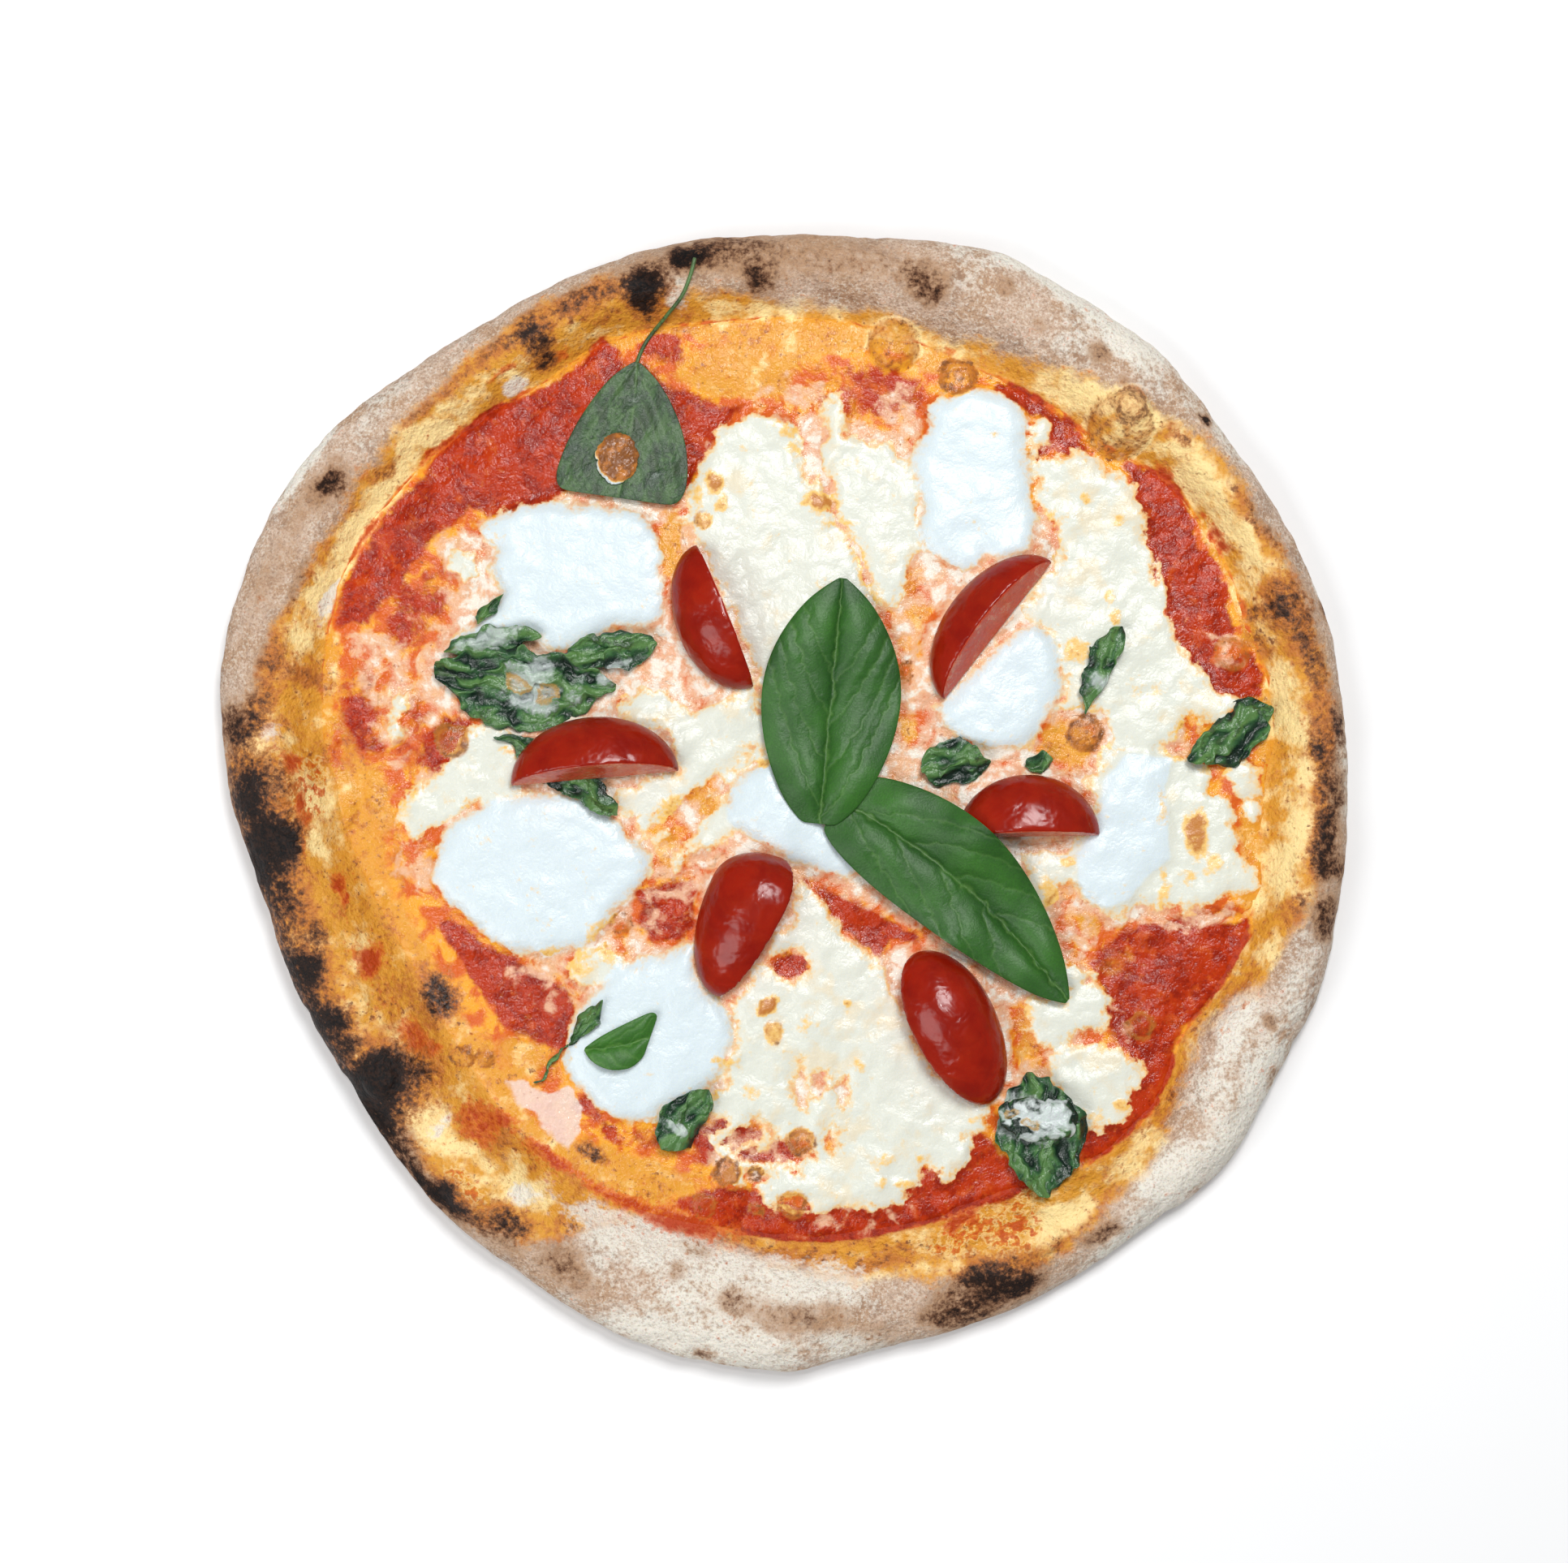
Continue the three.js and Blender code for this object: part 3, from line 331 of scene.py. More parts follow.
# then the cheese that melted,
MELTED = {
    "top": (
        (-10, 109), (-4, 108), (2, 105), (6, 100), (5, 95), (9, 91), (11, 85), (13, 80), (18, 73), (21, 66),
        (22, 58), (16, 50), (8, 40), (0, 34), (-7, 34), (-10, 40), (-14, 50), (-18, 60), (-22, 68),
        (-26, 75), (-28.5, 80), (-27, 87), (-24, 94), (-21, 101), (-17, 105.5),
    ),
    "top_lobe": (
        (10, 112), (15, 112), (17, 104), (25, 101), (33, 96), (37, 90), (37, 80), (36, 72), (33.5, 64),
        (31, 57), (26, 55), (23, 62), (19, 71), (15, 79), (12.5, 87), (11, 94), (9.5, 103),
    ),
    "far_right": (
        (69, 93), (75, 97), (80, 98), (86, 95.5), (92, 93), (95.5, 91), (97, 85), (99, 80), (99.5, 74),
        (101, 68), (104, 62), (107, 56), (107.5, 50), (110, 45), (113, 40), (115, 35), (117, 31), (124, 29),
        (122, 22), (112, 24), (105, 14), (90, 14), (88, 24), (84, 28), (76, 28), (77, 38), (74, 47),
        (68, 52), (66, 55), (70, 61), (74, 66), (75.5, 71), (75, 79), (70, 83), (68.5, 88),
    ),
    "right_field": (
        (88, 16), (100, 18), (106, 14), (113, 11), (118, 9), (117, 4), (123, 3), (124.5, -3), (125, -12),
        (128, -17), (131.5, -22), (126, -26), (118, -27), (112, -30), (106, -28), (99, -27), (93, -30),
        (87, -31), (83, -27), (80, -21), (79, -14), (82, -9), (86.5, -5), (87, 2), (84, 8), (88, 12),
    ),
    "right_edge": (
        (122, 12), (127, 13), (131, 10), (131, 4), (128, 2), (132, -2), (130, -5), (126, -4), (127, 1),
        (123, 5),
    ),
    "lower_right": (
        (66, -52), (72, -55), (77, -54), (79, -51), (85, -49), (89, -53), (90, -59), (88, -63), (82, -64),
        (76, -66), (70, -66), (67, -60),
    ),
    "lower_right_lobe": (
        (76, -67), (82, -66), (88, -66), (94, -68), (97.5, -72), (98.5, -78), (97, -84), (93, -88),
        (87, -90), (81, -91), (76, -90), (66, -84), (66, -80), (75, -78), (74, -72),
    ),
    "bottom": (
        (4, -17), (6, -23), (11, -29), (15, -35), (19, -38), (24, -42), (27, -47), (30, -53), (34, -60),
        (38, -68), (44, -76), (50, -81), (55, -84), (54, -90), (51, -93), (52, -98), (47, -100), (43, -103),
        (38, -101), (35, -107), (28, -111), (20, -112), (12, -113), (4, -113), (-3, -111), (-8, -108),
        (-14, -104), (-18, -96), (-22, -90), (-22, -84), (-18, -78), (-16, -70), (-14, -62), (-16, -56),
        (-12, -50), (-5, -42), (0, -34), (2, -26),
    ),
    "left": (
        (-45, 27), (-40, 33), (-33, 31), (-27, 25), (-18, 28), (-9, 33), (-5, 24), (-3, 14), (-9, 11),
        (-14, 9), (-20, 5), (-26, 0), (-32, -5), (-37, -9), (-42, -7), (-46, -2), (-47, 4), (-40, 6),
        (-30, 8), (-30, 12), (-35, 20), (-42, 24),
    ),
    "left_low": (
        (-18, 3), (-12, -2), (-14, -8), (-20, -12), (-27, -15), (-31, -18), (-33, -16), (-28, -12),
        (-22, -6),
    ),
    "middle_left": (
        (-107, 3), (-100, 8), (-96, 12), (-90, 18), (-86, 23), (-80, 21), (-76, 17), (-74, 12), (-76, 6),
        (-70, 3), (-80, 1), (-88, -1), (-95, -4), (-99, -7), (-104, -9), (-108, -4),
    ),
    "left_crumb": ((-110, 30), (-106, 30), (-105, 24), (-107, 19), (-110, 17), (-110, 24)),
    "by_upper_left": ((-94, 66), (-91, 70), (-87, 69), (-86, 64), (-90, 62)),
    "between_left": ((-61, -44), (-53, -39), (-45, -41), (-42, -44), (-50, -50), (-58, -51)),
    "by_right_wedge": ((66, -14), (75, -13), (81, -14), (82, -22), (76, -22), (72, -30), (68, -24)),
    "by_leaf_tip": ((73, -45), (80, -44), (86, -47), (80, -52), (76, -50)),
    "by_upper_right": ((67, 106), (72, 108), (74, 102), (70, 98), (67, 99)),
}

# the red sauce,
RED = {
    "upper_left": (
        (-51.5, 129.5), (-57.5, 120.5), (-67, 115), (-84, 109.5), (-93.5, 100), (-102.5, 90), (-110, 81),
        (-117.5, 70), (-123.5, 57), (-125, 50), (-118, 50), (-112, 55), (-106, 62), (-101, 70), (-95, 77),
        (-88, 81), (-78, 80), (-66, 84), (-58, 90), (-52, 110), (-44, 122),
    ),
    "by_leaf": (
        (-40, 125), (-36, 119), (-28, 116), (-20, 112), (-11, 111.5), (-17, 105), (-22, 99), (-26, 90),
        (-30, 85), (-34, 90), (-36, 105), (-42, 118),
    ),
    "right": (
        (95, 94.5), (102, 92), (107, 89), (110, 83), (113, 78), (114, 73), (118, 67), (121, 61), (122, 55),
        (124.5, 48), (120, 45), (119, 40), (125, 41), (129, 42), (132, 36), (131, 31), (124, 29.5),
        (116, 31), (112, 38), (108, 45), (105, 51), (105, 57), (102, 62), (99, 68), (97.5, 76), (96, 82),
        (95, 88),
    ),
    "upper_right": (
        (58, 117), (64, 116), (70, 113), (75, 108), (80, 107), (81, 102), (84, 96), (78, 97), (74, 100),
        (70, 95), (70, 92), (66, 96), (70, 107), (66, 110), (60, 114),
    ),
    "lower_right": (
        (84, -44), (88, -38), (94, -34), (100, -33), (108, -31), (116, -32), (123, -33), (128, -32),
        (129, -36), (125, -42), (122, -48), (116, -56), (110, -61), (107.5, -66), (107, -72), (104, -78),
        (101, -84), (95, -91), (88, -96), (82, -99), (78, -92), (86, -88), (92, -86), (96, -81), (97, -75),
        (95, -69), (90, -64), (88, -60), (88.5, -55), (87, -49),
    ),
    "bottom": (
        (53, -88), (49, -93), (50, -98), (45, -98), (41, -102), (36, -100), (34, -106), (27, -110),
        (18, -111.5), (8, -112), (-2, -110.5), (-9, -107), (-16, -105), (-24, -107), (-31, -110),
        (-24, -114), (-14, -118.5), (-2, -121), (10, -122), (22, -121), (32, -118.5), (42, -116),
        (52, -113), (62, -111), (70, -108), (67, -102), (60, -98), (57, -94),
    ),
    "lower_left": (
        (-97, -31), (-90, -33), (-84, -39), (-76, -42), (-68, -46), (-61, -51), (-58, -60), (-60, -68),
        (-68, -67), (-75, -66), (-79, -60), (-84, -52), (-89, -45), (-95, -38),
    ),
    "centre": (
        (5, -21), (10, -27), (14, -34), (20, -39), (26, -42), (29, -37), (36, -39), (38, -36), (32, -34),
        (26, -31), (22, -28), (16, -26), (12, -23),
    ),
    "fleck": ((-4, -44), (0, -40), (6, -43), (6, -46), (1, -49), (-4, -47)),
    "by_lower_wedge": ((-41, -24), (-32, -21), (-26, -21), (-25, -34), (-30, -38), (-38, -38), (-42, -32)),
    "by_left_wedge": ((-103, 12), (-100, 20), (-95, 25), (-88, 23), (-85, 17), (-90, 12), (-97, 8)),
    "left": ((-124, 30), (-117, 32), (-114, 22), (-112, 15), (-118, 13), (-124, 20)),
    "bottom_cheese": (
        (-24, -88), (-16, -86), (-6, -91), (4, -94), (2, -99), (-10, -99), (-22, -98), (-27, -94),
    ),
    "bottom_left": ((-60, -84), (-56, -85), (-50, -92), (-46, -95), (-48, -90), (-55, -80)),
}

# and the milky film that melted cheese leaves on the sauce.
MILKY = {
    "left": (
        (-123, 48), (-116, 50), (-108, 46), (-101, 40), (-99, 30), (-104, 24), (-103, 14), (-110, 9),
        (-114, 16), (-117, 28), (-121, 38),
    ),
    "right": ((117, 47), (124, 48), (128, 43), (124, 38), (119, 37)),
    "lower_right": (
        (88, -30), (95, -32), (105, -35), (114, -36), (124, -33), (127, -29), (116, -27), (104, -27),
        (93, -28),
    ),
    "drop": ((90, -56), (95, -57), (99, -60), (99, -64), (95, -66), (92, -61)),
    "left_low": ((-108, -8), (-100, -10), (-96, -12), (-98, -24), (-104, -26), (-110, -18)),
    "lower_left": ((-80, -43), (-72, -44), (-63, -50), (-62, -58), (-68, -60), (-74, -54)),
    "top": ((-10, 120), (0, 120), (10, 118), (12, 113), (4, 110), (-9, 111)),
    "top_right": ((22, 118), (34, 116), (40, 110), (38, 104), (34, 98), (28, 101), (24, 108)),
    "centre": (
        (26, 56), (33, 66), (38, 70), (48, 64), (42, 58), (38, 50), (38, 36), (34, 26), (30, 36), (29, 46),
    ),
    "middle": ((-34, -10), (-22, -8), (-16, -12), (-24, -20), (-38, -22), (-37, -14)),
    "by_lower_wedge": ((-42, -22), (-26, -20), (-25, -36), (-40, -38)),
    "by_leaf": (
        (66, -12), (80, -12), (80, -20), (84, -28), (86, -34), (80, -48), (76, -48), (72, -34), (68, -24),
    ),
    "bottom": ((-24, -88), (-10, -88), (0, -92), (10, -98), (8, -106), (-4, -106), (-16, -104), (-26, -98)),
    "by_upper_right": ((66, 108), (72, 106), (76, 100), (74, 96), (68, 97)),
    "bottom_edge": (
        (-6, -112), (4, -110), (14, -112), (26, -112), (34, -110), (34, -116), (22, -119), (8, -119),
    ),
    "by_upper_left": ((-96, 74), (-88, 78), (-80, 74), (-80, 60), (-88, 56), (-96, 62)),
}

# A pool of cheese water, clouded and pink.
POOL = (
    (-79, -76), (-72, -77), (-68, -80), (-60, -78), (-57, -84), (-58, -91), (-60, -99), (-66, -94),
    (-70, -86), (-78, -82),
)

# Openings in the melted cheese through which the sauce shows: x, y, half width, half height, turn.
GAPS = (
    (0.5, -44.5, 5, 4.4, 0), (4, -78, 1.5, 3.2, 0), (8.5, -78, 1.1, 2.2, 0), (15.5, -80.5, 1.6, 3.8, 0),
    (-8.5, -90, 1.8, 2.4, 0), (-14, -93, 6.5, 2.6, 10), (-4, -97, 8, 2.2, -5), (12, -92, 0.9, 2.4, 0),
    (3, -96, 2.6, 3.6, 0), (-20, -89, 3.6, 2.6, 0), (6.5, 98, 1.5, 5.4, 5), (112, 20, 3.4, 3.6, 0),
    (76, 15, 3.6, 3.6, 0), (-9, -103, 3, 1.6, 0), (2, -111, 3.6, 2, 0), (-28, -1, 12, 2, 40),
)

# Golden oil: x, y, half width, half height, turn, amount.
OIL = (
    (-12, 121, 22, 9, 0, 1), (10, 129.5, 30, 4.5, 0, 0.9), (41, 124, 8, 5, 0, 0.8),
    (-122, -5, 14, 45, 12, 1), (-114, -45, 15, 26, 28, 1), (-92, -78, 24, 16, -42, 1),
    (-46, -102, 26, 7, -12, 1), (92, -43, 7, 6, 0, 0.9), (-74, -70, 8, 8, 0, 0.9), (-30, 77, 4, 5, 0, 0.5),
    (130, -15, 6, 22, 0, 0.8), (-32, 73, 4, 11, 5, 0.9), (-33, -12, 6, 9, 0, 0.8), (-22, 1, 9, 5, -35, 0.8),
    (34, 56, 5, 12, 10, 0.7), (34, 21, 3, 6, 0, 0.7), (78, 17, 8, 6, 0, 1), (113, -6, 5, 9, 0, 0.6),
    (68, -64, 5, 9, 0, 0.8), (74, -34, 8, 13, 0, 0.5), (-108, -16, 6, 10, 0, 0.7), (-47, -40, 4, 6, 0, 0.6),
    (82, -22, 4, 5, 0, 0.5), (-70, -94, 16, 8, -30, 0.5), (20, 114, 5, 5, 0, 0.5),
    (-36, -94, 8, 4, -20, 0.5), (84, -34, 4, 4, 0, 0.8),
)

# Sauce showing weakly through, in the same numbers.
BLUSH = (
    (-33, 126, 8, 5, -10, 0.8), (20, 115, 25, 8, -8, 0.6), (-102, 56, 9, 14, -30, 0.65),
    (-119, 24, 7, 15, 0, 0.7), (-107, -16, 6, 10, 0, 0.5), (-100, -16, 5, 12, 10, 0.4),
    (-2, 117, 10, 5, 0, 0.4), (-66, -50, 9, 6, 30, 0.5), (127, 8, 5, 6, 0, 0.6),
    (-35, -96, 12, 6, -10, 0.5), (30, 45, 6, 14, 0, 0.3), (-28, -12, 12, 5, -20, 0.4),
    (77, -40, 5, 8, 0, 0.3), (-104, 20, 6, 12, 0, 0.5), (118, -30, 12, 3, 0, 0.6),
    (-38, -93, 7, 3, 10, 0.7), (66, -64, 4, 8, 0, 0.4),
)

# Tomato wedges, each part of an egg shape: middle, turn, length, bulge, height, lean of the standing cut,
# length of the far end against that of the near end, and the side on which the skin bulges.
WEDGES = {
    "upper": ((-16.5, 51), 292, 46, 14, 11, -0.1, 0.86, -1),
    "left": ((-53, 7), 5, 47, 17.5, 12, 0.34, 1, 1),
    "right": ((59, 48), 52, 49, 15.5, 12, 0.55, 1, 1),
    "far_right": ((67, -9), 1, 40, 17.5, 11, 0.15, 1, 1),
    "lower": ((-6, -26.4), 63, 60, 16, 12, -0.6, 0.42, 1),
    "lower_right": ((44.6, -59.7), 117, 52, 13.2, 12, -1.5, 0.8, -1),
}

# Melted cheese on the leaves: x, y, half width, half height, turn, amount.
FILM = (
    (-70, 33, 9, 6.5, 10, 0.9), (-61, 32, 6, 5, 0, 0.5), (-79, 47, 7, 2.5, 10, 0.8),
    (-86, 45, 7, 2, 15, 0.8), (86, 34, 4, 4, 0, 0.6), (-48, 37, 6, 2, 30, 0.6), (68, -86, 11, 6, -10, 0.9),
    (-31, -89, 2.4, 2.4, 0, 1), (122, 28, 5, 2, 30, 0.4), (44, 17, 4, 2, 0, 0.5), (-50, 92, 4, 2, 0, 0.3),
    (-51, -60, 3, 2, 0, 0.4),
)

# Leaves: stem end, tip, full width, share of the length where it is widest, width shares left at the
# stem end and at the tip, sideways bow of the midrib, and how far the left side is carried forward.
LEAVES = {
    "fresh_basil_lower": ((16, 1), (78, -54.5), 33, 0.35, 0.6, 0.05, 4.8, 0),
    "fresh_basil_upper": ((9, -5.4), (15.6, 63), 39.3, 0.52, 0.25, 0.05, 0, 0),
    "fresh_basil_small": ((-56, -67.6), (-37.5, -64), 14.4, 0.9, 0.05, 0.75, -1, 0.58),
    "baked_basil_top_left": ((-41.5, 123), (-47, 85), 37, 0.92, 0.05, 0.9, 1, 0),
}


# ---------------------------------------------------------------- fields over the pizza

TILES = 97  # steps of the noise before it repeats


def smoothstep(low, high, value):
    t = np.clip((value - low) / (high - low), 0, 1)
    return t * t * (3 - 2 * t)


def noise(x, y, spacing, seed):
    """Smooth random values, roughly -1 to 1, that change over the given spacing."""
    angles = np.random.default_rng(seed).uniform(0, 2 * math.pi, (TILES, TILES))
    gx, gy = x / spacing, y / spacing
    ix, iy = np.floor(gx).astype(int), np.floor(gy).astype(int)
    fx, fy = gx - ix, gy - iy

    def corner(i, j):
        angle = angles[(ix + i) % TILES, (iy + j) % TILES]
        return np.cos(angle) * (fx - i) + np.sin(angle) * (fy - j)

    u = fx ** 3 * (fx * (6 * fx - 15) + 10)
    v = fy ** 3 * (fy * (6 * fy - 15) + 10)
    near = corner(0, 0) + u * (corner(1, 0) - corner(0, 0))
    far = corner(0, 1) + u * (corner(1, 1) - corner(0, 1))
    return 1.5 * (near + v * (far - near))


def rough(x, y, spacing, seed, octaves=3):
    """Noise with finer and finer detail, each octave turned so that no grid shows."""
    total = 0
    for octave in range(octaves):
        turn = 0.6 + octave
        u = x * math.cos(turn) - y * math.sin(turn)
        v = x * math.sin(turn) + y * math.cos(turn)
        total = total + noise(u, v, spacing / 2 ** octave, seed + octave) / 1.8 ** octave
    return total


def round_curve(radii, angle):
    """A smooth closed curve through radii evenly spaced round a full turn."""
    radii = np.asarray(radii, float)
    place = (angle / (2 * math.pi)) % 1 * len(radii)
    i = np.floor(place).astype(int)
    f = place - i
    a, b, c, d = (radii[(i + step) % len(radii)] for step in (-1, 0, 1, 2))
    return b + 0.5 * f * (c - a + f * (2 * a - 5 * b + 4 * c - d + f * (3 * (b - c) + d - a)))


def turned(x, y, degrees):
    """Places turned anticlockwise about the origin."""
    angle = math.radians(degrees)
    return x * math.cos(angle) - y * math.sin(angle), x * math.sin(angle) + y * math.cos(angle)


def oval(x, y, cx, cy, half_width, half_height, turn=0):
    """Distance from an oval's middle, as a share of the way to its outline."""
    along, aside = turned(x - cx, y - cy, -turn)
    return np.hypot(along / half_width, aside / half_height)


def rim_spot(angle, radius, spot):
    """The same for a spot on the rim, whose place is an angle and a radius."""
    at, away, half_length, half_width = spot[:4]
    along = (np.degrees(angle) - at + 180) % 360 - 180
    return np.hypot(np.radians(along) * away / half_length, (radius - away) / half_width)


def rim_painted(angle, radius, spots):
    """How strongly a list of rim spots marks each point. Overlapping spots add up, to 1 at most."""
    bare = np.ones_like(radius)
    for spot in spots:
        bare = bare * (1 - spot[4] / (1 + rim_spot(angle, radius, spot) ** 4))
    return 1 - bare


def rim_fields(x, y, angle, radius):
    """The marks of baking at each point of the rim, with uneven outlines."""
    angle = angle + 1.6 * rough(x, y, 10, 27) / radius
    radius = radius + 1.2 * rough(x, y, 10, 29)
    tables = {"burn": BURNS, "flour": FLOUR, "baked": BAKED_AND_FOOT_SHADE, "pale": PALE, "fleck": RED_FLECKS, "lace": LACE}
    fields = {name: rim_painted(angle, radius, spots) for name, spots in tables.items()}
    return {**fields, "ring": bubble_rims(x, y)}


def bent(x, y, reach, seed):
    """Places shifted by noise, so that ovals drawn at them come out uneven."""
    return x + reach * rough(x, y, 5 * reach, seed), y + reach * rough(x, y, 5 * reach, seed + 9)


def painted(x, y, spots, soft=0.6):
    """The strongest of a list of spots at each point, faded over the outer part of each oval."""
    x, y = bent(x, y, 1.4, 33)
    total = np.zeros_like(x)
    for *place, amount in spots:
        total = np.maximum(total, amount * smoothstep(1 + soft, 1 - soft, oval(x, y, *place)))
    return total


def inside(x, y, outline):
    """Millimetres in from a closed outline, negative outside it."""
    nearest = np.full_like(x, 1e6)
    within = np.zeros(x.shape, bool)
    for (x0, y0), (x1, y1) in zip(outline, outline[1:] + outline[:1]):
        share = ((x - x0) * (x1 - x0) + (y - y0) * (y1 - y0)) / ((x1 - x0) ** 2 + (y1 - y0) ** 2)
        share = np.clip(share, 0, 1)
        nearest = np.minimum(nearest, np.hypot(x - x0 - share * (x1 - x0), y - y0 - share * (y1 - y0)))
        if y0 != y1:
            within ^= ((y0 > y) != (y1 > y)) & (x < x0 + (y - y0) * (x1 - x0) / (y1 - y0))
    return np.where(within, nearest, -nearest)


def within_any(x, y, outlines):
    """The same for the outline that each point is furthest inside."""
    return np.max([inside(x, y, outline) for outline in outlines.values()], axis=0)


def over_bubbles(x, y, shape):
    """shape(share of the way to the foot, radius, height, brownness) for every bubble."""
    return [shape(oval(x, y, cx, cy, reach, reach), reach, height, brown)
            for cx, cy, reach, height, brown in BUBBLES]


def domes(x, y):
    """How high each bubble stands at each point."""
    def dome(away, reach, height, brown):
        return height * np.sqrt(np.clip(1 - away ** 2, 0, 1))

    return over_bubbles(x, y, dome)


def blurred(grid, reach):
    """Three box blurs, close to a bell curve. reach is its half width in cells."""
    reach = max(1, int(round(reach)))
    for axis in (0, 1) * 3:
        padded = np.pad(grid, [(reach + 1, reach) if a == axis else (0, 0) for a in (0, 1)], mode="edge")
        total = np.cumsum(padded, axis=axis)
        grid = (np.roll(total, -(2 * reach + 1), axis) - total) / (2 * reach + 1)
        grid = grid[:-(2 * reach + 1)] if axis == 0 else grid[:, :-(2 * reach + 1)]
    return grid


# ---------------------------------------------------------------- meshes

SHARP = math.radians(60)  # the angle from which an edge between two faces stays sharp


def only(obj):
    """Makes obj the one selected and active object."""
    bpy.ops.object.select_all(action="DESELECT")
    obj.select_set(True)
    bpy.context.view_layer.objects.active = obj


@contextmanager
def editing(obj, action="SELECT"):
    """Edit mode on obj, with all of its mesh selected, or none of it."""
    only(obj)
    bpy.ops.object.mode_set(mode="EDIT")
    bpy.ops.mesh.select_all(action=action)
    yield
    bpy.ops.object.mode_set(mode="OBJECT")


def select_only(obj, kind, chosen):
    """Leaves just the chosen ones of obj's vertices or polygons selected."""
    with editing(obj, "DESELECT"):
        pass
    getattr(obj.data, kind).foreach_set("select", chosen)


def corners(obj):
    """The vertices' places in millimetres, as three arrays."""
    flat = np.empty(3 * len(obj.data.vertices))
    obj.data.vertices.foreach_get("co", flat)
    return flat.reshape(-1, 3).T / MM


def move_corners(obj, x, y, z):
    obj.data.vertices.foreach_set("co", (np.stack([x, y, z], axis=1) * MM).ravel())
    obj.data.update()


def paint(obj, name, values):
    """Stores one number per vertex for the finish to read."""
    layer = obj.data.attributes.new(name, "FLOAT", "POINT")
    layer.data.foreach_set("value", np.ascontiguousarray(values, dtype=np.float32))


def apply_modifiers(obj):
    only(obj)
    for modifier in list(obj.modifiers):
        bpy.ops.object.modifier_apply(modifier=modifier.name)


def subdivide(obj, levels):
    modifier = obj.modifiers.new("Smooth", "SUBSURF")
    modifier.levels = levels
    modifier.render_levels = levels
    apply_modifiers(obj)


def displace(obj, group, spacing, strength, depth=2):
    """Pushes the group's surface in and out along its normals by a solid noise. Sizes in metres."""
    texture = bpy.data.textures.new("relief", "CLOUDS")
    texture.noise_scale = spacing
    texture.noise_depth = depth
    modifier = obj.modifiers.new("Relief", "DISPLACE")
    modifier.texture = texture
    modifier.texture_coords = "LOCAL"
    modifier.strength = strength
    modifier.vertex_group = group
    apply_modifiers(obj)


def dressed_copy(node, name):
    """A copy of a solid, with its loose triangles joined into a quad mesh that can be refined."""
    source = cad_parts[node]
    obj = bpy.data.objects.new(name, source.data.copy())
    bpy.context.scene.collection.objects.link(obj)
    obj.data.materials.clear()
    with editing(obj):
        bpy.ops.mesh.remove_doubles(threshold=0.01 * MM)
        bpy.ops.mesh.tris_convert_to_quads(face_threshold=SHARP, shape_threshold=SHARP)
    return obj


def tag(obj, slot, *nodes):
    """Attaches a piece to the frame's root body and hides the solids it stands for. slot is not used."""
    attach(obj, "root")
    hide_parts(*nodes)


def finish_mesh(obj, material, smooth_angle=SHARP):
    obj.data.materials.clear()
    obj.data.materials.append(material)
    only(obj)
    bpy.ops.object.shade_smooth_by_angle(angle=smooth_angle)


# ---------------------------------------------------------------- shader maths

class Wire:
    """A shader value. Python arithmetic on it adds Math nodes."""

    def __init__(self, finish, socket):
        self.finish = finish
        self.socket = socket

    def maths(self, operation, *values):
        node = self.finish.node("Math", {"operation": operation}, dict(enumerate(values)))
        return Wire(self.finish, node.outputs[0])

    def __add__(self, other):
        return self.maths("ADD", self, other)

    def __sub__(self, other):
        return self.maths("SUBTRACT", self, other)

    def __mul__(self, other):
        return self.maths("MULTIPLY", self, other)

    def __rsub__(self, other):
        return self.maths("SUBTRACT", other, self)

    __radd__ = __add__
    __rmul__ = __mul__

    def ramp(self, low, high):
        """0 below low, 1 above high and a smooth step between. low may be the higher number."""
        node = self.finish.node(
            "MapRange", {"interpolation_type": "SMOOTHSTEP"},
            {"Value": self, "From Min": low, "From Max": high})
        return Wire(self.finish, node.outputs["Result"])


